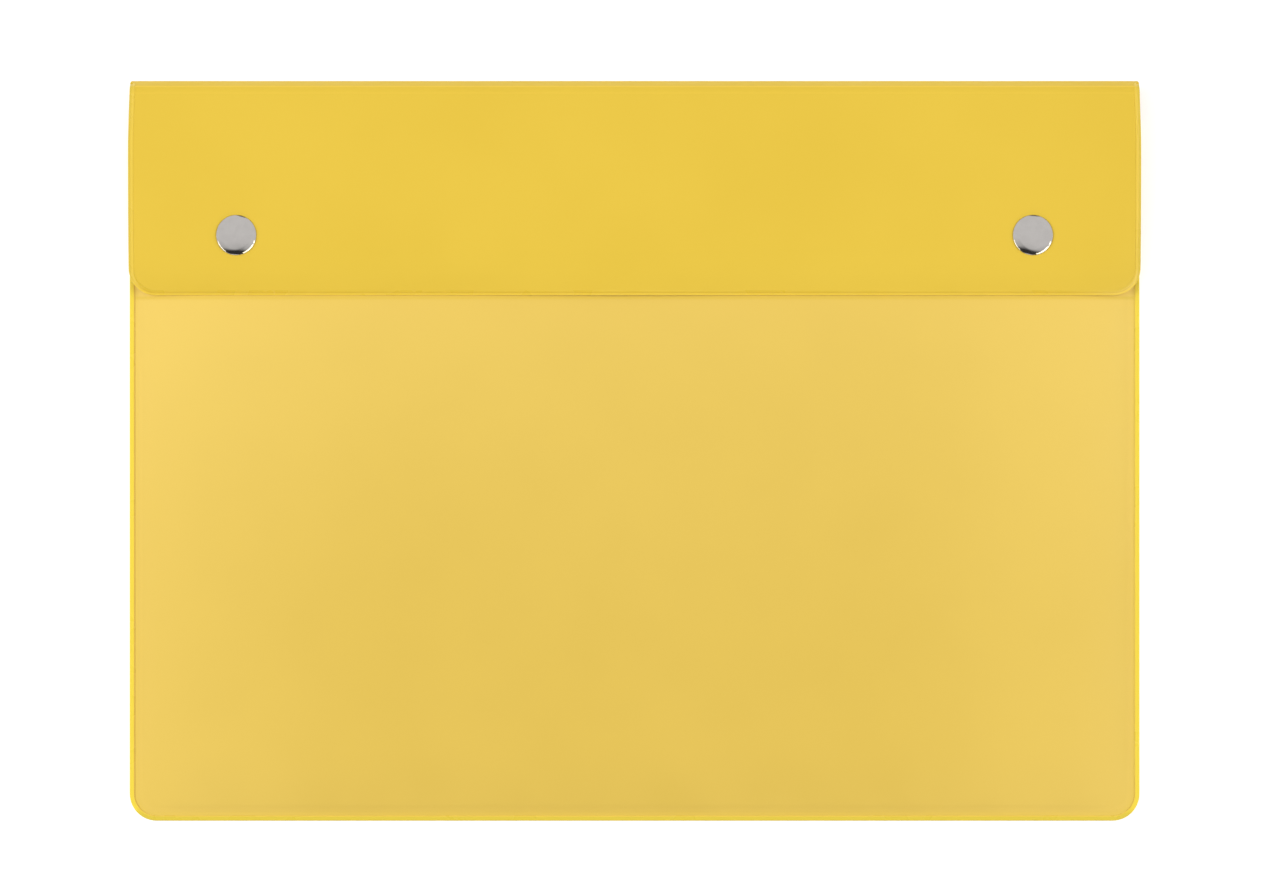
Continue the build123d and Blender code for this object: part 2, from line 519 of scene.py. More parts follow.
@dataclass(frozen=True)
class SheetFinish:
    """Coloured PVC sheet: slow tonal drift, a fine pressed grain and faint rubbed streaks."""

    name: str
    dark: Colour
    light: Colour
    rough_low: float
    rough_high: float
    grain_size: float = 0.42 * MM
    grain_depth: float = 0.012 * MM
    peel_size: float = 3.5 * MM
    peel_depth: float = 0.02 * MM
    drift_size: float = 70 * MM
    streak_size: float = 26 * MM
    streak_stretch: float = 7.0
    # Lighter lines along the fold's creases: partly whitening of the sheet, partly a painted highlight
    creases: tuple[Point2, ...] = ()
    crease_half: float = 0.4 * MM
    crease_share: float = 0.8
    crease_whitening_and_highlight: Colour = (0.92, 0.62, 0.07)
    grain_share: float = 0.18
    drift_share: float = 0.82
    streak_span: Point2 = (0.35, 0.68)
    peel_strength: float = 0.5
    grain_strength: float = 0.6
    specular: float = 0.3
    ior: float = 1.48

    def material(self) -> bpy.types.Material:
        """Builds the finish.

        Returns:
            The new material.
        """
        shader = Shader(self.name)
        place = shader.place(Place.SHEET)
        grain = shader.noise(place, self.grain_size, SMOOTH_DETAIL)
        drift = shader.noise(place, self.drift_size, SOFT_DETAIL)
        drift = shader.grade(drift, *NOISE_SPAN, 0.0, self.drift_share)
        tone = shader.sum("ADD", shader.sum("MULTIPLY", grain, self.grain_share), drift)
        colour = shader.tint(tone, self.dark, self.light)
        along = shader.parts(place)[1]
        # Lighter crease lines: partly whitening of the pressed sheet, partly a painted highlight on the
        # fold
        for run, share in self.creases:
            line = shader.line(along, run, self.crease_half)
            weight = shader.sum("MULTIPLY", line, self.crease_share * share)
            colour = shader.tint(weight, colour, self.crease_whitening_and_highlight)
        drawn = shader.stretch(place, (1.0, self.streak_stretch, 1.0))
        streaks = shader.noise(drawn, self.streak_size, RICH_DETAIL)
        roughness = shader.grade(streaks, *self.streak_span, self.rough_low, self.rough_high)
        normal = shader.bump(shader.noise(place, self.peel_size), self.peel_depth, self.peel_strength)
        normal = shader.bump(grain, self.grain_depth, self.grain_strength, normal)
        plain = {"IOR": self.ior, "Specular IOR Level": self.specular}
        return shader.coat(colour, roughness, normal, plain)


@dataclass(frozen=True)
class RimFinish:
    """Welded rim: a melted lip at the cut edge and a line where the welding bar pressed.

    The line and the colours that lip and line take along the free edge are painted light and shade: a
    painted highlight on the flap's pressed step, a painted shade in the pocket's groove that is weaker to
    the right, and lit and shaded copies of lip and line along the free edge, which faces away from the side
    lamps.
    """

    name: str
    dark: Colour
    light: Colour
    lip: Colour
    # Painted highlight on the flap's step, painted shade in the pocket's groove
    mark: Colour
    # Painted light and shade: the lip and line colours along the free edge
    painted_free_lip: Colour
    painted_free_mark: Colour
    lip_width: float
    mark_at: float
    free_mark_at: float
    mark_half: float
    half_width: float
    free_edge: float
    weld: float
    corner: float
    # Painted light: the line's share on the right side, and its share and reach near the free edge
    painted_line_right_share: float = 1.0
    painted_free_edge_share: float = 0.8
    painted_free_edge_reach: float = 24 * MM
    lip_fade: float = 0.7
    rough_span: Point2 = (0.35, 0.65)
    rough_low: float = 0.26
    rough_high: float = 0.36
    drift_size: float = 14 * MM
    grain_size: float = 0.8 * MM
    grain_depth: float = 0.008 * MM
    grain_strength: float = 0.5
    ior: float = 1.48

    def material(self) -> bpy.types.Material:
        """Builds the finish.

        Returns:
            The new material.
        """
        shader = Shader(self.name)
        place = shader.place(Place.SHEET)
        distance = shader.parts(shader.place(Place.EDGE))[0]
        drift = shader.noise(place, self.drift_size, SOFT_DETAIL)
        across, along = shader.parts(place)
        above = shader.sum("ABSOLUTE", shader.sum("SUBTRACT", along, self.free_edge))
        free = shader.grade(above, self.weld, self.corner, 1.0, 0.0)
        colour = shader.tint(shader.grade(drift, *NOISE_SPAN), self.dark, self.light)
        # Painted light and shade: the lip takes its painted free-edge colour along the free edge
        lip = shader.grade(distance, self.lip_width * self.lip_fade, self.lip_width, 1.0, 0.0)
        colour = shader.tint(lip, colour, shader.tint(free, self.lip, self.painted_free_lip))
        # Painted light and shade on the pressed line: weaker to the right, held strong near the free edge,
        # with its painted free-edge colour there
        shift = shader.sum("MULTIPLY", free, self.mark_at - self.free_mark_at)
        line = shader.line(shader.sum("ADD", distance, shift), self.mark_at, self.mark_half)
        weight = shader.grade(across, -self.half_width, self.half_width, 1.0, self.painted_line_right_share)
        low = shader.grade(above, self.corner, self.painted_free_edge_reach, self.painted_free_edge_share, 0.0)
        weight = shader.sum("MAXIMUM", weight, low)
        mark = shader.tint(free, self.mark, self.painted_free_mark)
        colour = shader.tint(shader.sum("MULTIPLY", line, weight), colour, mark)
        roughness = shader.grade(drift, *self.rough_span, self.rough_low, self.rough_high)
        normal = shader.bump(shader.noise(place, self.grain_size), self.grain_depth, self.grain_strength)
        return shader.coat(colour, roughness, normal, {"IOR": self.ior})


@dataclass(frozen=True)
class FilmFinish:
    """Frosted film: deeper in the middle and low down, paler towards the side welds, and with painted light
    that makes it paler towards the top, most on the left.

    A painted shadow runs across it just below the place where the flap's free edge rests: a faint deeper
    band that stands in for the shade under that edge.
    """

    half_width: float
    bottom: float
    top: float
    flap_edge: float
    name: str = "frosted_film"
    deep: Colour = (0.742, 0.506, 0.0715)
    pale: Colour = (0.88, 0.618, 0.12)
    margin: float = 90 * MM
    margin_shares: Point2 = (0.11, 0.52)
    # Painted light: where the paler top begins, how much paler the top grows, and how much more on the left
    # than on the right
    painted_light_start: float = 45 * MM
    painted_light_top_share: float = 0.55
    painted_light_lean: Point2 = (1.25, 1.0)
    cloud_size: float = 85 * MM
    cloud_span: Point2 = (0.3, 0.72)
    cloud_shares: Point2 = (-0.04, 0.05)
    haze_size: float = 22 * MM
    haze_shares: Point2 = (-0.03, 0.03)
    grain_size: float = 0.5 * MM
    grain_span: Point2 = (0.25, 0.75)
    grain_shares: Point2 = (-0.03, 0.03)
    grain_depth: float = 0.016 * MM
    grain_strength: float = 0.6
    thread_stretch: float = 3.0
    fused: Colour = (0.83, 0.59, 0.055)
    fused_width: float = 2.9 * MM
    fused_fade: float = 0.8
    fused_share: float = 0.15
    seam_at: float = 3.6 * MM
    seam_half: float = 0.75 * MM
    seam_share: float = 0.06
    # Painted shadow under the flap's free edge: its colour, strength, offset below the edge and half width
    rest: Colour = (0.72, 0.5, 0.0)
    painted_shadow_share: float = 0.38
    painted_shadow_below: float = 1.0 * MM
    painted_shadow_half: float = 0.95 * MM
    rough_low: float = 0.5
    rough_high: float = 0.64
    ior: float = 1.46

    def material(self) -> bpy.types.Material:
        """Builds the finish.

        Returns:
            The new material.
        """
        shader = Shader(self.name)
        place = shader.place(Place.SHEET)
        across, along = shader.parts(place)
        distance = shader.parts(shader.place(Place.EDGE))[0]
        side = shader.sum("ABSOLUTE", across)
        share = shader.grade(side, self.half_width - self.margin, self.half_width, *self.margin_shares)
        # Painted light: paler towards the top, most on the left, as from the lamps at the upper left
        painted_light_lean = shader.grade(across, -self.half_width, self.half_width, *self.painted_light_lean)
        rise = shader.grade(along, self.bottom + self.painted_light_start, self.top, 0.0, self.painted_light_top_share)
        cloud = shader.noise(place, self.cloud_size, SOFT_DETAIL)
        haze = shader.noise(place, self.haze_size, RICH_DETAIL)
        haze = shader.grade(haze, *NOISE_SPAN, *self.haze_shares)
        grain = shader.noise(shader.stretch(place, (1.0, self.thread_stretch, 1.0)), self.grain_size)
        paler = (
            shader.sum("MULTIPLY", rise, painted_light_lean),
            shader.grade(cloud, *self.cloud_span, *self.cloud_shares),
            haze,
            shader.grade(grain, *self.grain_span, *self.grain_shares),
            shader.sum("MULTIPLY", shader.line(distance, self.seam_at, self.seam_half), self.seam_share),
        )
        for part in paler:
            share = shader.sum("ADD", share, part)
        colour = shader.tint(share, self.deep, self.pale)
        # Painted shadow: a deeper band just below the flap's free edge, standing in for the shade under it
        rest = shader.line(along, self.flap_edge - self.painted_shadow_below, self.painted_shadow_half)
        colour = shader.tint(shader.sum("MULTIPLY", rest, self.painted_shadow_share), colour, self.rest)
        solid = self.fused_width * self.fused_fade
        melted = shader.grade(distance, solid, self.fused_width, self.fused_share, 0.0)
        colour = shader.tint(melted, colour, self.fused)
        roughness = shader.grade(haze, *self.haze_shares, self.rough_low, self.rough_high)
        normal = shader.bump(grain, self.grain_depth, self.grain_strength)
        return shader.coat(colour, roughness, normal, {"IOR": self.ior})


@dataclass(frozen=True)
class MetalFinish:
    """Plated metal: fine drawn scratches, smudges in the gloss and slight toning."""

    name: str
    dark: Colour
    light: Colour
    rough_low: float
    rough_high: float
    scratch_size: float = 0.7 * MM
    scratch_stretch: float = 14.0
    scratch_depth: float = 0.002 * MM
    scratch_strength: float = 0.4
    smudge_size: float = 2.6 * MM
    wear_span: Point2 = (0.12, 0.4)

    def material(self) -> bpy.types.Material:
        """Builds the finish.

        Returns:
            The new material.
        """
        shader = Shader(self.name)
        place = shader.place(Place.SOLID)
        smudge = shader.noise(place, self.smudge_size, RICH_DETAIL)
        drawn = shader.stretch(place, (1.0, self.scratch_stretch, 1.0))
        scratch = shader.noise(drawn, self.scratch_size, SOFT_DETAIL)
        colour = shader.tint(shader.grade(smudge, *NOISE_SPAN), self.dark, self.light)
        wear = shader.sum("MULTIPLY", smudge, scratch)
        roughness = shader.grade(wear, *self.wear_span, self.rough_low, self.rough_high)
        normal = shader.bump(scratch, self.scratch_depth, self.scratch_strength)
        return shader.coat(colour, roughness, normal, {"Metallic": 1.0})


@dataclass(frozen=True)
class WalletSizes:
    """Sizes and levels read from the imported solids, with the rounding of the cut corners."""

    half_width: float
    bottom: float
    mouth: float
    rim_height: float
    weld: float
    cover: float
    lining: float
    film: float
    film_top: float
    flap_top: float
    flap_edge: float
    flap_drop: float
    droop_line: float
    snap_line: float
    snap_x: float
    creases: tuple[Vector, ...]
    pocket_corner: float = 8.5 * MM
    flap_corner: float = 8.5 * MM
    droop_margin: float = 0.5 * MM

    @classmethod
    def from_frame(cls) -> "WalletSizes":
        """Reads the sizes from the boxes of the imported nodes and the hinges' positions.

        Returns:
            The sizes.
        """
        rim_low, rim_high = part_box("edge_weld")
        back_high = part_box("back_panel")[1]
        film_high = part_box("front_panel")[1]
        sheet_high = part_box("flap_panel")[1]
        lining_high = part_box("flap_lining")[1]
        edge_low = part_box("flap_edge_weld")[0]
        socket_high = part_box("socket_right")[1]
        cap_low, cap_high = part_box("cap_right")
        cap_middle = (cap_low + cap_high) / 2
        return cls(
            half_width=rim_high.x,
            bottom=rim_low.y,
            mouth=rim_high.y,
            rim_height=rim_high.z,
            weld=rim_high.x - film_high.x,
            cover=back_high.z,
            lining=lining_high.z - socket_high.z,
            film=rim_high.z - back_high.z,
            film_top=film_high.z,
            flap_top=sheet_high.z,
            flap_edge=edge_low.y,
            flap_drop=socket_high.z - edge_low.z,
            droop_line=cap_low.y - cls.droop_margin,
            snap_line=cap_middle.y,
            snap_x=cap_middle.x,
            creases=tuple(Vector(joint["pos_m"]) for joint in frame["record"]["behaviour"]["joints"]),
        )

    def snap_centre(self, side: Side) -> Point2:
        """Returns the plan position of a snap."""
        return (-self.snap_x if side is Side.LEFT else self.snap_x, self.snap_line)


@dataclass(frozen=True)
class Stretch:
    """One stretch of the cover sheet seen from the side: its length and how far it turns."""

    length: float
    turn: float = 0.0


@dataclass(frozen=True)
class Station:
    """A point on a cut edge, with the direction that leads in from it: q counts up from the free edge."""

    x: float
    q: float
    in_x: float
    in_q: float


def rim_path(half: float, side_rows: Sequence[float], radius: float, step: float,
             corner_steps: int = 14) -> list[Station]:
    """Follows a cut edge down one side, along the free edge and up the other side.

    Args:
        half: Half of the width across the cut edges.
        side_rows: Heights of the stations on each side, from the top down to the corner.
        radius: Radius of the lower corners.
        step: Spacing along the free edge.
        corner_steps: Pieces in each corner.

    Returns:
        The stations, from the top of the left side to the top of the right side.
    """
    left = [Station(-half, q, 1.0, 0.0) for q in side_rows]
    for i in range(1, corner_steps):
        angle = math.pi * (1.0 + 0.5 * i / corner_steps)
        out_x, out_q = math.cos(angle), math.sin(angle)
        left.append(Station(radius - half + radius * out_x, radius + radius * out_q, -out_x, -out_q))
    flat = [Station(x, 0.0, 0.0, 1.0) for x in spread(radius - half, half - radius, step)]
    right = [Station(-s.x, s.q, -s.in_x, s.in_q) for s in reversed(left)]
    return left + flat + right


def corner_rows(radius: float, steps: int = 14) -> list[Point2]:
    """Spaces rows through a round corner.

    Args:
        radius: Radius of the corner.
        steps: Pieces in the corner.

    Returns:
        Height above the free edge and inset of the side at each row, from the top down.
    """
    angles = [math.pi / 2 * i / steps for i in range(1, steps + 1)]
    return [(radius * (1.0 - math.sin(a)), radius * (1.0 - math.cos(a))) for a in angles]


@dataclass(frozen=True)
class RimProfile:
    """Section of a welded rim: a rounded lip at the cut edge, then the mark that the welding bar left.

    The mark is a groove, a step up from the pressed lip to the sheet, or both.
    """

    width: float
    depth: float
    lip_round: float
    mark_at: float
    mark_half: float
    groove_depth: float = 0.0
    press_depth: float = 0.0
    lip_share: float = 0.8
    lip_steps: int = 5
    foot_round: float = 0.06 * MM
    step: float = 0.09 * MM

    def face(self, u: float) -> float:
        """Follows the outer face.

        Args:
            u: Distance in from the cut edge.

        Returns:
            The depth of the face there.
        """
        lip = 0.0
        if u < self.lip_round:
            lip = self.lip_round - math.sqrt(self.lip_round ** 2 - (self.lip_round - u) ** 2)
        off = (u - self.mark_at) / self.mark_half
        groove = self.groove_depth * (1.0 - ease(abs(off)))
        press = self.press_depth * (1.0 - ease((off + 1.0) / 2))
        return lip * self.lip_share + groove + press

    def outline(self, depth: float) -> list[Point2]:
        """Draws the section.

        Args:
            depth: Thickness of the rim at this place.

        Returns:
            Distance in from the cut edge and depth of each point, outer face first and then back.
        """
        turns = [math.pi / 2 * i / self.lip_steps for i in range(self.lip_steps + 1)]
        lip = [self.lip_round * (1.0 - math.cos(turn)) for turn in turns]
        inward = lip + spread(lip[-1], self.width, self.step)[1:]
        outer = [(u, self.face(u)) for u in inward]
        inner = [(max(u, self.foot_round), depth) for u in reversed(inward)]
        return outer + inner

    def sweep(self, name: str, stations: Sequence[Station], depths: Sequence[float],
              along: Callable[[float], float],
              spot: Callable[[float, float, float], Vector]) -> bpy.types.Object:
        """Sweeps the section along a cut edge.

        Args:
            name: Name of the piece.
            stations: Points of the cut edge.
            depths: Thickness of the rim at each of them.
            along: Gives the place along the flat sheet from the height above the free edge.
            spot: Gives the point from its place across and along the flat sheet and its depth.

        Returns:
            The new piece.
        """
        loops = []
        flat = []
        edge = []
        for station, thick in zip(stations, depths):
            section = self.outline(thick)
            inward = [u for u, _ in section]
            marks = [(station.x + u * station.in_x, along(station.q + u * station.in_q)) for u in inward]
            loops.append([spot(*mark, depth) for mark, (_, depth) in zip(marks, section)])
            flat.append(marks)
            edge.append(inward)
        return skin(name, loops, flat, edge)


@dataclass
class CoverSheet:
    """The opaque sheet that is back, fold and flap in one, with the flap's lining and welded rim.

    Each of its fold lines has a distance from the outermost line of the fold, and a height.
    """

    sizes: WalletSizes
    front_level: Callable[[float, float], float]
    crease_round: float = 3.4 * MM
    apex_round: float = 1.6 * MM
    waist: float = 0.55 * MM
    waist_reach: float = 24 * MM
    fold_corner: float = 1.0 * MM
    squeeze: float = 0.3 * MM
    rest_gaps: Point2 = (0.09 * MM, 0.3 * MM)
    curl_width: float = 23 * MM
    curl_height: float = 45 * MM
    curl_gap: float = 0.6 * MM
    fine_zone: float = 9 * MM
    fine_step: float = 0.28 * MM
    row_step: float = 2.6 * MM
    column_step: float = 3.4 * MM
    edge_round: float = 0.06 * MM
    edge_guard: float = 0.3 * MM
    ripple_height: float = 0.5 * MM
    ripple_half: float = 50 * MM
    ripple_at: float = -4 * MM
    fold_lines: tuple[Point2, ...] = ((3.9 * MM, 0.08 * MM), (6.2 * MM, 0.02 * MM))
    fold_line_half: float = 0.4 * MM
    rim: RimProfile = field(init=False)
    stretches: tuple[Stretch, ...] = field(init=False)
    ends: list[float] = field(init=False)

    def __post_init__(self) -> None:
        """Lays out the side view: back, creases and slats, flap and the droop to its free edge."""
        sizes = self.sizes
        creases = sizes.creases
        turn = math.pi / len(creases)
        rounds = [self.apex_round] * len(creases)
        rounds[0] = rounds[-1] = self.crease_round
        reaches = [radius * math.tan(turn / 2) for radius in rounds]
        stretches = [Stretch(creases[0].y - reaches[0] - sizes.bottom)]
        for i, radius in enumerate(rounds):
            stretches.append(Stretch(radius * turn, turn))
            if i + 1 < len(creases):
                slat = (creases[i + 1] - creases[i]).length
                stretches.append(Stretch(slat - reaches[i] - reaches[i + 1]))
        stretches.append(Stretch(creases[-1].y - reaches[-1] - sizes.droop_line))
        reach = sizes.droop_line - sizes.flap_edge + self.squeeze
        radius = (reach ** 2 + sizes.flap_drop ** 2) / (2 * sizes.flap_drop)
        droop = math.asin(reach / radius)
        stretches.append(Stretch(radius * droop, droop))
        self.stretches = tuple(stretches)
        self.ends = [0.0]
        for stretch in stretches:
            self.ends.append(self.ends[-1] + stretch.length)
        self.rim = RimProfile(
            width=sizes.weld,
            depth=sizes.cover + sizes.lining,
            lip_round=0.25 * MM,
            mark_at=0.9 * MM,
            mark_half=0.4 * MM,
            press_depth=0.2 * MM,
        )

    @property
    def length(self) -> float:
        """Whole length of the sheet, from the pocket's bottom round to the flap's free edge."""
        return self.ends[-1]

    @property
    def apex(self) -> float:
        """Distance along the sheet to the outermost line of the fold."""
        middle = 2 * (len(self.sizes.creases) // 2) + 1
        return (self.ends[middle] + self.ends[middle + 1]) / 2

    @property
    def creases(self) -> tuple[Point2, ...]:
        """Distance along the sheet to each line pressed beside the fold, and how strongly its colour is
        lightened, partly as whitening of the sheet and partly as a painted highlight.
        """
        sharpest = max(ridge for _, ridge in self.fold_lines)
        return tuple((self.apex + away, ridge / sharpest) for away, ridge in self.fold_lines)

    @property
    def flap_start(self) -> float:
        """Distance along the sheet to where the last crease's bend ends and the flap begins."""
        return self.ends[2 * len(self.sizes.creases)]

    def seam(self, slat: int) -> float:
        """Returns the distance along the sheet to the middle of a slat."""
        return (self.ends[2 * slat + 2] + self.ends[2 * slat + 3]) / 2

    def crease_ends(self, crease: int) -> tuple[Vector, Vector]:
        """Returns the points where a crease's bend starts and ends, on the outer face."""
        return tuple(self.spot(0.0, self.ends[2 * crease + 1 + k]) for k in range(2))

    def at(self, run: float) -> Point3:
        """Follows the side view of the outer face.

        Args:
            run: Distance along the sheet from the pocket's bottom edge.

        Returns:
            The y and z reached, and the heading, which is 0 along +Y and turns towards the pocket.
        """
        y, z, heading = self.sizes.bottom, 0.0, 0.0
        for stretch, start in zip(self.stretches, self.ends):
            part = min(max(run - start, 0.0), stretch.length)
            if stretch is self.stretches[-1]:
                part = max(run - start, 0.0)
            if stretch.turn:
                radius = stretch.length / stretch.turn
                after = heading + part / radius
                y += radius * (math.sin(after) - math.sin(heading))
                z += radius * (math.cos(heading) - math.cos(after))
                heading = after
            else:
                y += part * math.cos(heading)
                z += part * math.sin(heading)
        return y, z, heading

    def draw_in(self, run: float) -> float:
        """Works out how far each side is drawn in, which is most at the fold.

        Args:
            run: Distance along the sheet.

        Returns:
            The inset of each side.
        """
        away = abs(run - self.apex)
        inset = self.waist * (1.0 - ease(away / self.waist_reach))
        below = self.sizes.creases[1].y - self.at(run)[0]
        if below < self.fold_corner:
            rest = self.fold_corner - max(below, 0.0)
            inset += self.fold_corner - math.sqrt(self.fold_corner ** 2 - rest ** 2)
        return inset

    def lift(self, run: float) -> float:
        """Works out how far the lines pressed beside the fold stand out of the sheet.

        Args:
            run: Distance along the sheet.

        Returns:
            The height above the plain face.
        """
        height = 0.0
        for away, ridge in self.fold_lines:
            off = (run - self.apex - away) / self.fold_line_half
            height += ridge * math.exp(-off * off)
        return height

    def drop(self, x: float, run: float) -> float:
        """Works out how far the flap hangs below its plain side view.

        Args:
            x: Place across the sheet.
            run: Distance along it.

        Returns:
            The drop, from the free edge's rest on the front sheet, its ripple and the curl of the corners.
        """
        start = self.ends[-2]
        free = max(0.0, (run - start) / (self.length - start))
        ripple = self.ripple_height * (1.0 - ease(abs(x - self.ripple_at) / self.ripple_half))
        return self.sag(x) * free * free - ripple * ease(free) + self.curl(x, run)

    def rest_level(self, x: float) -> float:
        """Finds the free edge's level over the front sheet, a little further off it on the right.

        Args:
            x: Place across the sheet.

        Returns:
            The level of the edge's underside.
        """
        reach = self.sizes.half_width - self.curl_width
        held = min(max(x, -reach), reach)
        left, right = self.rest_gaps
        gap = left + (right - left) * (held + reach) / (2 * reach)
        return self.front_level(held, self.sizes.flap_edge) + gap

    def sag(self, x: float) -> float:
        """Returns how far the free edge sinks below its plain side view to rest on the front sheet."""
        sizes = self.sizes
        return sizes.flap_top - self.rim.depth - sizes.flap_drop - self.rest_level(x)

    def curl(self, x: float, run: float) -> float:
        """Works out how far a corner of the flap curls down towards the pocket's rim.

        Args:
            x: Place across the sheet.
            run: Distance along it.

        Returns:
            The drop of the corner.
        """
        drop = self.rest_level(self.sizes.half_width) - self.sizes.rim_height - self.curl_gap
        side = (self.sizes.half_width - abs(x)) / self.curl_width
        up = (self.length - run) / self.curl_height
        return drop * max(0.0, 1.0 - side - up) ** 2

    def spot(self, x: float, run: float, depth: float = 0.0) -> Vector:
        """Places a point of the sheet.

        Args:
            x: Place across the flat sheet.
            run: Distance along it.
            depth: Depth below the outer face.

        Returns:
            The point on the folded sheet.
        """
        y, z, heading = self.at(run)
        inward = depth - self.lift(run)
        narrow = 1.0 - self.draw_in(run) / self.sizes.half_width
        level = z + math.cos(heading) * inward - self.drop(x, run)
        return Vector((x * narrow, y - math.sin(heading) * inward, level))

    def rows(self, first: float, last: float) -> list[float]:
        """Spaces rows along the sheet, close together round the fold.

        Args:
            first: Distance along the sheet to the first row.
            last: Distance to the last row.

        Returns:
            The distances of the rows.
        """
        breaks = [first, self.apex - self.fine_zone, self.apex + self.fine_zone, last]
        breaks = sorted({min(max(b, first), last) for b in breaks})
        found = [first]
        for low, high in zip(breaks, breaks[1:]):
            near = abs((low + high) / 2 - self.apex) < self.fine_zone
            found += spread(low, high, self.fine_step if near else self.row_step)[1:]
        return found

    def slab(self, name: str, outline: Sequence[Point2], outer: float, inner: float) -> bpy.types.Object:
        """Makes a stretch of sheet.

        Args:
            name: Name of the piece.
            outline: Distance along the sheet and half width of each row.
            outer: Depth of its outer face.
            inner: Depth of its inner face.

        Returns:
            The new piece.
        """
        widest = max(half for _, half in outline)
        shares = spread(-1.0, 1.0, self.column_step / widest)[1:-1]
        loops = []
        flat = []
        for run, half in outline:
            across = [self.edge_round - half, self.edge_guard - half]
            across += [share * (half - 2 * self.edge_guard) for share in shares]
            across += [half - self.edge_guard, half - self.edge_round]
            face = [(-half, outer + self.edge_round)]
            face += [(x, outer) for x in across]
            face.append((half, outer + self.edge_round))
            rear = [(half, inner - self.edge_round)]
            rear += [(x, inner) for x in reversed(across)]
            rear.append((-half, inner - self.edge_round))
            loops.append([self.spot(x, run, depth) for x, depth in face + rear])
            flat.append([(x, run) for x, _ in face + rear])
        return skin(name, loops, flat)

    def fold_on(self, piece: bpy.types.Object, crease: int) -> None:
        """Bakes a piece's placement into its mesh, without bending it over the crease or setting it on a
        body.

        Args:
            piece: The piece.
            crease: Number of the crease, counted from the back.
        """
        start, end = self.crease_ends(crease)
        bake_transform(piece)

    def build_back(self, material: bpy.types.Material) -> None:
        """Builds the back sheet, which widens to the cut edge above the pocket's mouth.

        Args:
            material: Its finish.
        """
        sizes = self.sizes
        inset_half = sizes.half_width - sizes.weld
        radius = sizes.pocket_corner - sizes.weld
        outline = [(sizes.weld + q, inset_half - inset) for q, inset in reversed(corner_rows(radius))]
        for run in self.rows(sizes.weld + radius, self.seam(0)):
            above = sizes.bottom + run - (sizes.mouth - sizes.weld)
            outline.append((run, inset_half + sizes.weld * ease(above / sizes.weld)))
        piece = self.slab("back_sheet", outline, 0.0, sizes.cover)
        settle(piece, material, Slot.COVER, ["back_panel"])
        self.fold_on(piece, 0)

    def build_fold(self, material: bpy.types.Material) -> None:
        """Builds the rounded fold between the back and the flap.

        Args:
            material: Its finish.
        """
        outline = [(run, self.sizes.half_width) for run in self.rows(self.seam(0), self.seam(1))]
        piece = self.slab("fold_band", outline, 0.0, self.sizes.cover)
        settle(piece, material, Slot.COVER, ["fold_strip_1", "fold_strip_2"])
        self.fold_on(piece, 1)

    def flap_outline(self, first: float) -> list[Point2]:
        """Outlines the flap inside its rim.

        Args:
            first: Distance along the sheet to the first row.

        Returns:
            Distance along the sheet and half width of each row.
        """
        sizes = self.sizes
        half = sizes.half_width - sizes.weld
        radius = sizes.flap_corner - sizes.weld
        last = self.length - sizes.weld
        outline = [(run, half) for run in self.rows(first, last - radius)]
        return outline + [(last - q, half - inset) for q, inset in corner_rows(radius)]

    def build_flap(self, material: bpy.types.Material) -> None:
        """Builds the flap's outer sheet.

        Args:
            material: Its finish.
        """
        piece = self.slab("flap_sheet", self.flap_outline(self.seam(1)), 0.0, self.sizes.cover)
        settle(piece, material, Slot.COVER, ["flap_panel"])
        self.fold_on(piece, 2)

    def build_lining(self, material: bpy.types.Material) -> None:
        """Builds the lining, which ends where the fold's bend begins.

        Args:
            material: Its finish.
        """
        sizes = self.sizes
        outline = self.flap_outline(self.flap_start)
        piece = self.slab("flap_lining_film", outline, sizes.cover, sizes.cover + sizes.lining)
        settle(piece, material, Slot.LINING, ["flap_lining"])
        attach(piece, Body.FLAP.value)

    def build_rim(self, material: bpy.types.Material) -> None:
        """Builds the welded rim round three sides of the flap.

        Args:
            material: Its finish.
        """
        sizes = self.sizes
        radius = sizes.flap_corner
        first = self.seam(1)
        side_rows = [self.length - run for run in self.rows(first, self.length - radius)]
        stations = rim_path(sizes.half_width, side_rows, radius, self.column_step)
        bend = self.flap_start - first
        lined = [ease((self.length - station.q - first) / bend) for station in stations]
        depths = [sizes.cover + sizes.lining * share for share in lined]
        piece = self.rim.sweep("flap_rim", stations, depths, lambda q: self.length - q, self.spot)
        settle(piece, material, Slot.RIM, ["flap_edge_weld"])
        self.fold_on(piece, 2)


@dataclass(frozen=True)
class Wave:
    """One slow wave of the front sheet: its length, and its heading and phase in radians."""

    length: float
    heading: float
    phase: float

    def at(self, x: float, y: float) -> float:
        """Returns the wave's share of its height at a place."""
        along = x * math.cos(self.heading) + y * math.sin(self.heading)
        return math.sin(math.tau * along / self.length + self.phase)


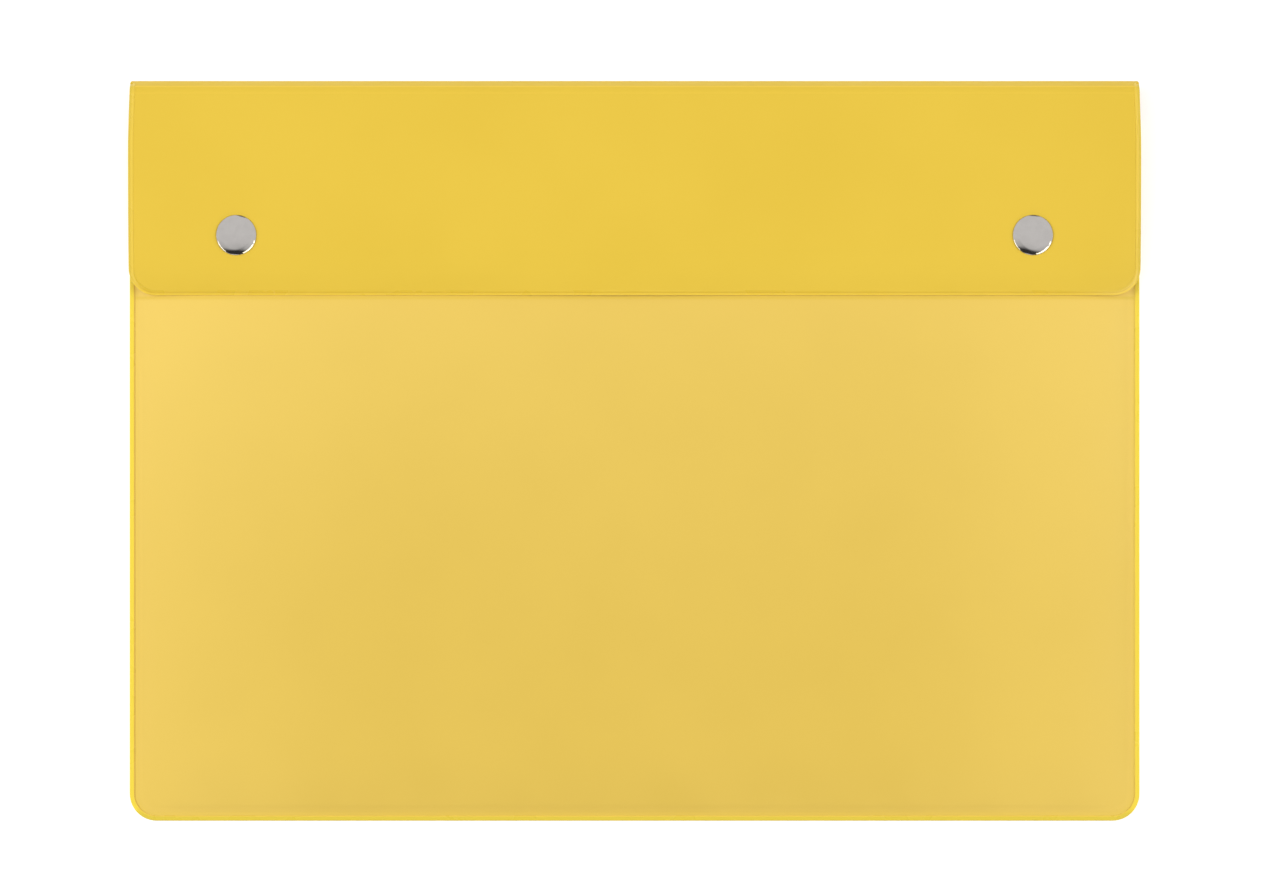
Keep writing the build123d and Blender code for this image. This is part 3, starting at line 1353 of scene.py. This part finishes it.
@dataclass
class Pocket:
    """The frosted front sheet and the welded rim that joins it to the back sheet."""

    sizes: WalletSizes
    margin: float = 22 * MM
    corner_margin: float = 3.5 * MM
    belly: float = 0.8 * MM
    belly_half: float = 118 * MM
    belly_full: float = 0.45
    belly_ebb: float = 0.55
    belly_loss: float = 0.45
    wave_height: float = 0.065 * MM
    still_radius: float = 7 * MM
    still_fade: float = 14 * MM
    weld_line_at: float = 1.5 * MM
    weld_line_half: float = 0.45 * MM
    weld_line: float = 0.05 * MM
    row_step: float = 2.6 * MM
    column_step: float = 2.6 * MM
    near_edge: tuple[float, ...] = (
        0.06 * MM, 0.4 * MM, 0.8 * MM, 1.15 * MM, 1.5 * MM, 1.85 * MM, 2.2 * MM)
    waves: tuple[Wave, ...] = (
        Wave(88 * MM, heading=0.3, phase=0.6),
        Wave(133 * MM, heading=1.25, phase=2.1),
        Wave(61 * MM, heading=2.2, phase=4.0),
        Wave(107 * MM, heading=-0.55, phase=5.2),
    )
    rim: RimProfile = field(init=False)

    def __post_init__(self) -> None:
        """Sets the section of the welded rim."""
        self.rim = RimProfile(
            width=self.sizes.weld,
            depth=self.sizes.rim_height,
            lip_round=0.32 * MM,
            mark_at=1.55 * MM,
            mark_half=0.25 * MM,
            groove_depth=0.1 * MM,
        )

    def rise(self, distance: float) -> float:
        """Returns the share of its full height that the sheet has at a distance from the weld."""
        share = min(max(distance / self.margin, 0.0), 1.0)
        return share * (2.0 - share)

    def edge_distance(self, x: float, y: float) -> float:
        """Measures the distance in from the weld, round its lower corners.

        Args:
            x: Place across the wallet.
            y: Place along it.

        Returns:
            The distance.
        """
        radius = self.sizes.pocket_corner - self.sizes.weld
        side = self.sizes.half_width - self.sizes.weld - abs(x)
        low = y - self.sizes.bottom - self.sizes.weld
        if side < radius and low < radius:
            return radius - math.hypot(radius - side, radius - low)
        return min(side, low)

    def height(self, x: float, y: float) -> float:
        """Finds the level of the front sheet's outer face.

        Args:
            x: Place across the wallet.
            y: Place along it.

        Returns:
            The level, with the sheet's rise from the weld, its belly, its waves and the weld line.
        """
        sizes = self.sizes
        half = sizes.half_width - sizes.weld
        low = y - sizes.bottom - sizes.weld
        edge = self.edge_distance(x, y)
        full = self.rise(half - x) * self.rise(half + x) * self.rise(low) * ease(edge / self.corner_margin)
        level = sizes.rim_height + (sizes.film_top - sizes.rim_height) * full
        across = max(0.0, 1.0 - (x / self.belly_half) ** 2)
        along = low / (sizes.mouth - sizes.bottom - sizes.weld)
        ebb = ease((along - self.belly_ebb) / (1.0 - self.belly_ebb))
        bow = across * across * ease(along / self.belly_full) * (1.0 - self.belly_loss * ebb)
        calm = 1.0
        for side in Side:
            snap_x, snap_y = sizes.snap_centre(side)
            calm *= ease((math.hypot(x - snap_x, y - snap_y) - self.still_radius) / self.still_fade)
        waves = self.wave_height * calm * full * sum(wave.at(x, y) for wave in self.waves)
        off = (edge - self.weld_line_at) / self.weld_line_half
        line = self.weld_line * math.exp(-off * off)
        return level + self.belly * bow + waves + line

    def build_front(self, material: bpy.types.Material) -> None:
        """Builds the front sheet, which rises from the weld and bows a little in the middle.

        Args:
            material: Its finish.
        """
        sizes = self.sizes
        radius = sizes.pocket_corner - sizes.weld
        half = sizes.half_width - sizes.weld
        foot = sizes.bottom + sizes.weld
        outline = [(foot + q, half - inset) for q, inset in reversed(corner_rows(radius))]
        outline += [(y, half) for y in spread(foot + radius, sizes.mouth, self.row_step)]
        inner = half - radius - self.near_edge[-1]
        shares = spread(-1.0, 1.0, self.column_step / inner)
        loops = []
        flat = []
        edge = []
        for y, width in outline:
            across = [near - width for near in self.near_edge]
            across += [share * (width - 2 * self.near_edge[-1] + self.near_edge[-2]) for share in shares]
            across += [width - near for near in reversed(self.near_edge)]
            face = [Vector((x, y, self.height(x, y))) for x in across]
            rear = [point - Vector((0.0, 0.0, sizes.film)) for point in reversed(face)]
            loops.append(face + rear)
            flat.append([(point.x, y) for point in face + rear])
            edge.append([self.edge_distance(point.x, y) + sizes.weld for point in face + rear])
        piece = skin("front_sheet", loops, flat, edge)
        settle(piece, material, Slot.FRONT, ["front_panel"])
        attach(piece, Body.POCKET.value)

    def build_rim(self, material: bpy.types.Material) -> None:
        """Builds the welded rim round three sides of the pocket.

        Args:
            material: Its finish.
        """
        sizes = self.sizes
        side_rows = spread(sizes.mouth - sizes.bottom, sizes.pocket_corner, self.row_step)
        stations = rim_path(sizes.half_width, side_rows, sizes.pocket_corner, self.column_step)
        piece = self.rim.sweep(
            "pocket_rim", stations, [sizes.rim_height] * len(stations), lambda q: sizes.bottom + q,
            lambda x, y, depth: Vector((x, y, sizes.rim_height - depth)))
        settle(piece, material, Slot.RIM, ["edge_weld"])
        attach(piece, Body.POCKET.value)


@dataclass(frozen=True)
class Dome:
    """The cap's face: a nearly flat crown and a round shoulder, as shares of its radius."""

    crown_share: float = 0.70
    crown_slope: float = math.radians(4)
    shoulder_share: float = 0.98763
    shoulder_slope: float = math.radians(46)

    def slope(self, share: float) -> float:
        """Finds how steep the face is.

        Args:
            share: Share of the radius.

        Returns:
            The slope there, in radians.
        """
        crown, shoulder = math.sin(self.crown_slope), math.sin(self.shoulder_slope)
        if share < self.crown_share:
            return math.asin(crown * share / self.crown_share)
        climb = (share - self.crown_share) / (self.shoulder_share - self.crown_share)
        return math.asin(crown + (shoulder - crown) * min(climb, 1.0))


@dataclass(frozen=True)
class Extent:
    """Radius, lowest and highest level of a turned solid."""

    radius: float
    low: float
    high: float

    @classmethod
    def of_node(cls, node: str) -> "Extent":
        """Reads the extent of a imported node."""
        low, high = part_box(node)
        return cls((high.x - low.x) / 2, low.z, high.z)


@dataclass(frozen=True)
class SnapCap:
    """The cap: a nearly flat crown, a round shoulder and an edge rolled under."""

    dome: Dome = Dome()
    wall: float = 0.3 * MM
    lip: float = 1.1 * MM
    crown_step: float = math.radians(0.5)
    shoulder_step: float = math.radians(3)
    roll_step: float = math.radians(8)
    foot_step: float = math.radians(12)

    def profile(self, room: Extent) -> list[Point2]:
        """Draws the section.

        Args:
            room: Radius and levels that it fills.

        Returns:
            Radius and height of each point.
        """
        dome = self.dome
        crown = room.radius * dome.crown_share
        shoulder = room.radius * dome.shoulder_share
        climb = math.sin(dome.shoulder_slope) - math.sin(dome.crown_slope)
        roll = (room.radius - shoulder) / (1.0 - math.sin(dome.shoulder_slope))
        bends = (
            (crown / math.sin(dome.crown_slope), 0.0, dome.crown_slope, self.crown_step),
            ((shoulder - crown) / climb, dome.crown_slope, dome.shoulder_slope, self.shoulder_step),
            (roll, dome.shoulder_slope, math.pi / 2, self.roll_step),
        )
        points = [(0.0, room.high)]
        for bend, first, last, step in bends:
            start_r, start_z = points[-1]
            for slope in spread(first, last, step)[1:]:
                across = bend * (math.sin(slope) - math.sin(first))
                down = bend * (math.cos(first) - math.cos(slope))
                points.append((start_r + across, start_z - down))
        foot = points[-1][1] - room.low
        for slope in spread(math.pi / 2, math.pi, self.foot_step)[1:]:
            under = foot * (1.0 - math.sin(slope))
            points.append((room.radius - under, room.low + foot * (1.0 + math.cos(slope))))
        inside = room.high - 2 * self.wall
        lip_top = room.low + self.wall
        return points + [
            (room.radius - self.lip, room.low),
            (room.radius - self.lip, lip_top),
            (room.radius - 2 * self.wall, lip_top),
            (crown, inside),
            (0.0, inside),
        ]


@dataclass(frozen=True)
class SnapRivet:
    """The rivet: a flange inside the cap and a hollow post whose end is flared."""

    post: float = 1.9 * MM
    bore: float = 1.5 * MM
    bore_end_round: float = 0.2 * MM
    bore_mouth_round: float = 0.3 * MM
    flare: float = 2.6 * MM
    flare_height: float = 0.25 * MM
    flare_round: float = 0.12 * MM
    flare_lip_round: float = 0.06 * MM
    flange: float = 0.3 * MM
    flange_foot_round: float = 0.08 * MM
    flange_round: float = 0.12 * MM

    def profile(self, room: Extent) -> list[Point2]:
        """Draws the section.

        Args:
            room: Radius and levels that it fills.

        Returns:
            Radius and height of each point.
        """
        flange_low = room.high - self.flange
        flare_top = room.low + self.flare_height
        return rounded((
            (0.0, flange_low, 0.0),
            (self.bore, flange_low, self.bore_end_round),
            (self.bore, room.low, self.bore_mouth_round),
            (self.flare, room.low, self.flare_round),
            (self.flare, flare_top, self.flare_lip_round),
            (self.post, flare_top, 0.0),
            (self.post, flange_low, 0.0),
            (room.radius, flange_low, self.flange_foot_round),
            (room.radius, room.high, self.flange_round),
            (0.0, room.high, 0.0),
        ))


@dataclass(frozen=True)
class SnapSocket:
    """The socket: a cup with a rounded rim and a pressed ring round its mouth."""

    hole: float = 2.0 * MM
    mouth: float = 2.75 * MM
    mouth_round: float = 0.13 * MM
    mouth_lip_round: float = 0.06 * MM
    wall: float = 0.35 * MM
    wall_round: float = 0.12 * MM
    rim_round: float = 0.5 * MM
    plate: float = 0.3 * MM
    plate_round: float = 0.15 * MM
    ring_rise: float = 0.14 * MM
    ring_feet: Point2 = (0.3 * MM, 1.15 * MM)
    ring_tops: Point2 = (0.5 * MM, 0.9 * MM)
    ring_rounds: Point2 = (0.1 * MM, 0.12 * MM)

    def profile(self, room: Extent) -> list[Point2]:
        """Draws the section.

        Args:
            room: Radius and levels that it fills.

        Returns:
            Radius and height of each point.
        """
        floor = room.low + self.wall
        plate_low = room.high - self.plate
        ring = room.low + self.ring_rise
        inner_foot, outer_foot = self.ring_feet
        inner_top, outer_top = self.ring_tops
        inner_round, outer_round = self.ring_rounds
        return rounded((
            (self.hole, room.high, 0.0),
            (room.radius, room.high, self.plate_round),
            (room.radius, room.low, self.rim_round),
            (self.mouth + outer_foot, room.low, outer_round),
            (self.mouth + outer_top, ring, outer_round),
            (self.mouth + inner_top, ring, inner_round),
            (self.mouth + inner_foot, room.low, inner_round),
            (self.mouth, room.low, self.mouth_round),
            (self.mouth, floor, self.mouth_lip_round),
            (room.radius - self.wall, floor, self.wall_round),
            (room.radius - self.wall, plate_low, self.wall_round),
            (self.hole, plate_low, 0.0),
        ))


@dataclass(frozen=True)
class SnapStud:
    """The stud: a sloping base, a narrow neck and a domed head with a dimple."""

    bore: float = 1.45 * MM
    base: float = 0.45 * MM
    base_side: float = 0.3 * MM
    base_foot_round: float = 0.1 * MM
    base_edge_round: float = 0.14 * MM
    base_slope: float = 1.3 * MM
    base_slope_round: float = 0.4 * MM
    neck: float = 1.8 * MM
    neck_foot: Point2 = (0.7 * MM, 0.3 * MM)
    neck_foot_rounds: Point2 = (0.3 * MM, 0.25 * MM)
    head: float = 2.3 * MM
    head_height: float = 0.68 * MM
    head_flare: float = 0.22 * MM
    head_under_round: float = 0.14 * MM
    head_round: float = 0.32 * MM
    wall: float = 0.35 * MM
    dimple_top: float = 1.2 * MM
    dimple_edge_round: float = 0.3 * MM
    dimple_floor: float = 0.7 * MM
    dimple_floor_round: float = 0.2 * MM
    dimple_depth: float = 0.12 * MM

    def profile(self, room: Extent) -> list[Point2]:
        """Draws the section.

        Args:
            room: Radius and levels that it fills.

        Returns:
            Radius and height of each point.
        """
        base = room.low + self.base
        foot_width, foot_height = self.neck_foot
        foot_round, root_round = self.neck_foot_rounds
        head_low = room.high - self.head_height
        dimple = room.high - self.dimple_depth
        ceiling = room.high - self.wall
        return rounded((
            (self.bore, room.low, 0.0),
            (room.radius, room.low, self.base_foot_round),
            (room.radius, room.low + self.base_side, self.base_edge_round),
            (room.radius - self.base_slope, base, self.base_slope_round),
            (self.neck + foot_width, base, foot_round),
            (self.neck, base + foot_height, root_round),
            (self.neck, head_low, self.head_under_round),
            (self.head, head_low + self.head_flare, self.head_under_round),
            (self.head, room.high, self.head_round),
            (self.dimple_top, room.high, self.dimple_edge_round),
            (self.dimple_floor, dimple, self.dimple_floor_round),
            (0.0, dimple, 0.0),
            (0.0, ceiling, 0.0),
            (self.bore, ceiling, 0.0),
        ))


@dataclass(frozen=True)
class SnapEyelet:
    """The eyelet: a flange inside the pocket, up to a level, and a tube up into the stud."""

    flange_top: float
    flange_round: float = 0.14 * MM
    flange_lip_round: float = 0.06 * MM
    tube: float = 1.4 * MM
    tube_round: float = 0.08 * MM
    bore: float = 1.0 * MM
    bore_round: float = 0.16 * MM

    def profile(self, room: Extent) -> list[Point2]:
        """Draws the section.

        Args:
            room: Radius and levels that it fills.

        Returns:
            Radius and height of each point.
        """
        return rounded((
            (self.bore, room.low, self.bore_round),
            (room.radius, room.low, self.flange_round),
            (room.radius, self.flange_top, self.flange_lip_round),
            (self.tube, self.flange_top, 0.0),
            (self.tube, room.high, self.tube_round),
            (self.bore, room.high, self.tube_round),
        ))


SnapPiece = SnapCap | SnapRivet | SnapSocket | SnapStud | SnapEyelet


@dataclass(frozen=True)
class Snap:
    """One press stud: cap, rivet, socket and spring on the flap, stud and eyelet on the front sheet."""

    sizes: WalletSizes
    side: Side

    def node(self, part: str) -> str:
        """Returns the name of one of this snap's nodes."""
        return f"{part}_{self.side.value}"

    def turn(self, part: str, shape: SnapPiece, material: bpy.types.Material, slot: Slot,
             body: Body) -> None:
        """Turns one piece of the snap and sets it on its body.

        Args:
            part: Name of the solid, without its side.
            shape: Sizes of the piece.
            material: Its finish.
            slot: The record's slot for that finish.
            body: The body that it moves with.
        """
        node = self.node(part)
        profile = shape.profile(Extent.of_node(node))
        piece = lathe(f"snap_{node}", self.sizes.snap_centre(self.side), profile)
        settle(piece, material, slot, [node])
        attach(piece, body.value)

    def build(self, bright: bpy.types.Material, dull: bpy.types.Material, wire: bpy.types.Material) -> None:
        """Builds the snap.

        Args:
            bright: Finish of the cap.
            dull: Finish of the works.
            wire: Finish of the spring.
        """
        film_low = Extent.of_node(self.node("stud")).low - self.sizes.film
        self.turn("cap", SnapCap(), bright, Slot.CAP, Body.FLAP)
        self.turn("cap_rivet", SnapRivet(), dull, Slot.SNAP, Body.FLAP)
        self.turn("socket", SnapSocket(), dull, Slot.SNAP, Body.FLAP)
        self.turn("stud", SnapStud(), dull, Slot.SNAP, Body.POCKET)
        self.turn("stud_eyelet", SnapEyelet(film_low), dull, Slot.SNAP, Body.POCKET)
        dress(bpy.data.objects[self.node("socket_spring")], wire)
        log.info("%s: dressed", self.node("socket_spring"))


@dataclass(frozen=True)
class Lamp:
    """An oblong soft light that points at the wallet."""

    name: str
    place: Point3
    width: float
    height: float
    power: float
    use: LampUse = LampUse.SOFT
    colour: Colour = (1.0, 1.0, 1.0)

    def build(self) -> None:
        """Adds the light to the scene."""
        data = bpy.data.lights.new(self.name, "AREA")
        data.shape = "RECTANGLE"
        data.size = self.width
        data.size_y = self.height
        data.energy = self.power
        data.color = self.colour
        lamp = bpy.data.objects.new(self.name, data)
        lamp.location = self.place
        lamp.rotation_euler = (-Vector(self.place)).to_track_quat("-Z", "Y").to_euler()
        lamp.visible_diffuse = self.use is LampUse.SOFT
        lamp.visible_glossy = self.use is LampUse.GLINT
        bpy.context.scene.collection.objects.link(lamp)


@dataclass(frozen=True)
class Shade:
    """A dark curved screen out of the picture, which shows only in gloss and polished metal.

    It is laid out from what a cap shows of it: the part of its round beyond a straight chord. Chords are
    shares of the cap's radius, and the screen darkens from one to the next.
    """

    name: str
    azimuth: float
    clear: float
    grey: float
    black: float
    rim: float
    grey_glow: float = 0.74
    black_glow: float = 0.05
    dome: Dome = Dome()
    sight_tilt: float = math.radians(1.83)
    radius: float = 2.9
    steps: int = 24

    def point(self, chord: float, share: float) -> Vector:
        """Finds the point of the screen that a cap shows.

        Args:
            chord: Chord of the cap, as a share of its radius.
            share: Place along the chord, from -1 to 1.

        Returns:
            The point of the screen.
        """
        aside = math.acos(chord / self.rim) * share
        slope = self.dome.slope(chord / math.cos(aside))
        turn = self.azimuth + aside
        level = math.sin(slope)
        normal = Vector((level * math.cos(turn), level * math.sin(turn), math.cos(slope)))
        sight = Vector((0.0, math.sin(self.sight_tilt), -math.cos(self.sight_tilt)))
        return sight.reflect(normal) * self.radius

    def build(self) -> None:
        """Hangs the screen up where no camera, shadow or soft light meets it."""
        deep = (self.rim - self.clear) / self.steps
        chords = spread(self.clear, self.rim, deep)[:-1]
        shares = spread(-1.0, 1.0, 2.0 / self.steps)
        count = len(shares)
        places = [(share, chord) for chord in chords for share in shares]
        faces = [
            (i * count + k, i * count + k + 1, (i + 1) * count + k + 1, (i + 1) * count + k)
            for i in range(len(chords) - 1) for k in range(count - 1)
        ]
        data = bpy.data.meshes.new(self.name)
        data.from_pydata([self.point(chord, share) for share, chord in places], [], faces)
        layer = data.uv_layers.new(name=FLAT_MAP)
        for corner in data.loops:
            layer.data[corner.index].uv = places[corner.vertex_index]
        screen = bpy.data.objects.new(self.name, data)
        screen.visible_camera = False
        screen.visible_diffuse = False
        screen.visible_shadow = False
        screen.visible_transmission = False
        bpy.context.scene.collection.objects.link(screen)
        shader = Shader(self.name)
        chord = shader.parts(shader.place(Place.SHEET))[1]
        near = shader.grade(chord, self.clear, self.grey, 1.0, self.grey_glow, smooth=False)
        last = self.black_glow / self.grey_glow
        far = shader.grade(chord, self.grey, self.black, 1.0, last, smooth=False)
        glow = shader.add("ShaderNodeEmission")
        shader.join(shader.sum("MULTIPLY", near, far), glow.inputs["Strength"])
        dress(screen, shader.show(glow.outputs["Emission"]))


@dataclass(frozen=True)
class Studio:
    """White floor and surroundings, soft lights, and the camera straight above."""

    picture: tuple[int, int] = (1280, 896)
    pixel: float = 0.315 * MM
    middle_pixel: Point2 = (634.6, 450.8)
    camera_height: float = 2.1
    camera_reach: float = 100.0
    sensor: float = 36.0
    floor_half: float = 4.0
    floor_level: float = -0.12 * MM
    floor_white: float = 0.92
    floor_glow: float = 0.38
    ambient: float = 0.536
    lamps: tuple[Lamp, ...] = (
        Lamp("left_light", (-2.4, 0.4, 2.1), width=1.6, height=1.6, power=46.0),
        Lamp("right_light", (2.5, 0.4, 2.0), width=1.6, height=1.6, power=36.0),
        Lamp("front_fill", (0.0, -2.6, 0.95), width=1.6, height=0.8, power=7.0),
        Lamp("left_glint", (-2.09, -1.33, 0.4), width=1.7, height=0.3, power=5.5,
             use=LampUse.GLINT, colour=GLINT_COLOUR),
        Lamp("right_glint", (1.75, -1.72, 0.6), width=2.66, height=0.85, power=24.0,
             use=LampUse.GLINT, colour=GLINT_COLOUR),
    )
    shades: tuple[Shade, ...] = (
        Shade("front_shade", math.radians(261), clear=0.28, grey=0.645, black=0.785, rim=0.985),
        Shade("rear_shade", math.radians(80), clear=0.92, grey=0.935, black=0.95, rim=0.985),
    )

    def build_world(self) -> None:
        """Makes the surroundings white where they are seen, and softer where they light."""
        world = bpy.data.worlds.new("white_surround")
        world.use_nodes = True
        wiring = Wiring(world.node_tree)
        back = wiring.tree.nodes["Background"]
        back.inputs["Color"].default_value = (1.0, 1.0, 1.0, 1.0)
        wiring.join(wiring.shown(self.ambient, 1.0), back.inputs["Strength"])
        bpy.context.scene.world = world

    def build_floor(self) -> None:
        """Lays the white floor that the wallet rests on."""
        half = self.floor_half
        corners = ((-half, -half), (half, -half), (half, half), (-half, half))
        data = bpy.data.meshes.new("floor")
        data.from_pydata([(*corner, self.floor_level) for corner in corners], [], [(0, 1, 2, 3)])
        floor = bpy.data.objects.new("floor", data)
        bpy.context.scene.collection.objects.link(floor)
        shader = Shader("white_floor")
        matt = shader.add("ShaderNodeBsdfDiffuse")
        matt.inputs["Color"].default_value = (self.floor_white, self.floor_white, self.floor_white, 1.0)
        glow = shader.add("ShaderNodeEmission")
        shader.join(shader.shown(0.0, self.floor_glow), glow.inputs["Strength"])
        both = shader.add("ShaderNodeAddShader")
        shader.join(matt.outputs["BSDF"], both.inputs[0])
        shader.join(glow.outputs["Emission"], both.inputs[1])
        dress(floor, shader.show(both.outputs["Shader"]))

    def build_camera(self) -> None:
        """Places the camera straight above, framed as in the photograph."""
        width, height = self.picture
        data = bpy.data.cameras.new("camera")
        data.sensor_fit = "HORIZONTAL"
        data.sensor_width = self.sensor
        data.lens = self.sensor * self.camera_height / (width * self.pixel)
        data.clip_end = self.camera_reach
        camera = bpy.data.objects.new("camera", data)
        across = (width / 2 - self.middle_pixel[0]) * self.pixel
        along = (self.middle_pixel[1] - height / 2) * self.pixel
        camera.location = (across, along, self.camera_height)
        bpy.context.scene.collection.objects.link(camera)
        bpy.context.scene.camera = camera

    def build(self) -> None:
        """Builds the whole studio."""
        self.build_world()
        self.build_floor()
        for fitting in (*self.lamps, *self.shades):
            fitting.build()
        self.build_camera()
        bpy.context.scene.view_settings.view_transform = "Standard"


def main() -> None:
    """Builds the wallet's sub-assemblies in order, and the studio round them."""
    logging.basicConfig(level=logging.INFO, format="%(name)s: %(message)s")
    sizes = WalletSizes.from_frame()
    pocket = Pocket(sizes)
    cover = CoverSheet(sizes, pocket.height)

    sheet = SheetFinish(
        "yellow_sheet",
        dark=(0.785, 0.535, 0.046),
        light=(0.815, 0.56, 0.052),
        rough_low=0.42,
        rough_high=0.52,
        creases=cover.creases,
    ).material()
    lining = SheetFinish(
        "lining_film",
        dark=(0.76, 0.52, 0.04),
        light=(0.81, 0.56, 0.055),
        rough_low=0.55,
        rough_high=0.66,
        grain_size=0.6 * MM,
        grain_depth=0.02 * MM,
    ).material()
    # Flap rim: the lighter mark is a painted highlight on the sides' pressed step; along the free edge the
    # lighter lip is a painted highlight and the darker mark a painted shade
    flap_rim = RimFinish(
        "flap_weld",
        dark=(0.785, 0.535, 0.04),
        light=(0.815, 0.56, 0.046),
        lip=(0.735, 0.53, 0.048),
        mark=(0.85, 0.6, 0.06),
        painted_free_lip=(0.91, 0.63, 0.055),
        painted_free_mark=(0.775, 0.51, 0.03),
        lip_width=0.8 * MM,
        mark_at=1.25 * MM,
        free_mark_at=cover.rim.mark_at,
        mark_half=cover.rim.mark_half,
        half_width=sizes.half_width,
        free_edge=cover.length,
        weld=sizes.weld,
        corner=sizes.flap_corner,
    ).material()
    # Pocket rim: the dark mark is painted shade in the groove, kept weaker on the right where that wall
    # faces the stronger left lamp, and the darker lip along the bottom edge is painted shade
    pocket_rim = RimFinish(
        "pocket_weld",
        dark=(0.84, 0.6, 0.06),
        light=(0.88, 0.63, 0.075),
        lip=(0.91, 0.69, 0.05),
        mark=(0.71, 0.42, 0.045),
        painted_free_lip=(0.76, 0.575, 0.045),
        painted_free_mark=(0.84, 0.565, 0.07),
        lip_width=1.5 * MM,
        mark_at=pocket.rim.mark_at,
        free_mark_at=pocket.rim.mark_at,
        mark_half=pocket.rim.mark_half,
        half_width=sizes.half_width,
        free_edge=sizes.bottom,
        weld=sizes.weld,
        corner=sizes.pocket_corner / 2,
        painted_line_right_share=0.25,
    ).material()
    film = FilmFinish(sizes.half_width, sizes.bottom, sizes.mouth, sizes.flap_edge).material()
    bright = MetalFinish(
        "bright_nickel",
        dark=(0.485, 0.462, 0.443),
        light=(0.51, 0.487, 0.468),
        rough_low=0.09,
        rough_high=0.15,
        scratch_depth=0.0006 * MM,
    ).material()
    dull = MetalFinish(
        "dull_nickel", dark=(0.42, 0.41, 0.39), light=(0.56, 0.55, 0.53), rough_low=0.26, rough_high=0.42,
    ).material()
    wire = MetalFinish(
        "bronze_wire", dark=(0.4, 0.28, 0.12), light=(0.56, 0.42, 0.2), rough_low=0.25, rough_high=0.4,
    ).material()

    cover.build_back(sheet)
    cover.build_fold(sheet)
    cover.build_flap(sheet)
    cover.build_lining(lining)
    cover.build_rim(flap_rim)
    pocket.build_front(film)
    pocket.build_rim(pocket_rim)
    for side in Side:
        Snap(sizes, side).build(bright, dull, wire)
    Studio().build()


if __name__ == "__main__":
    main()
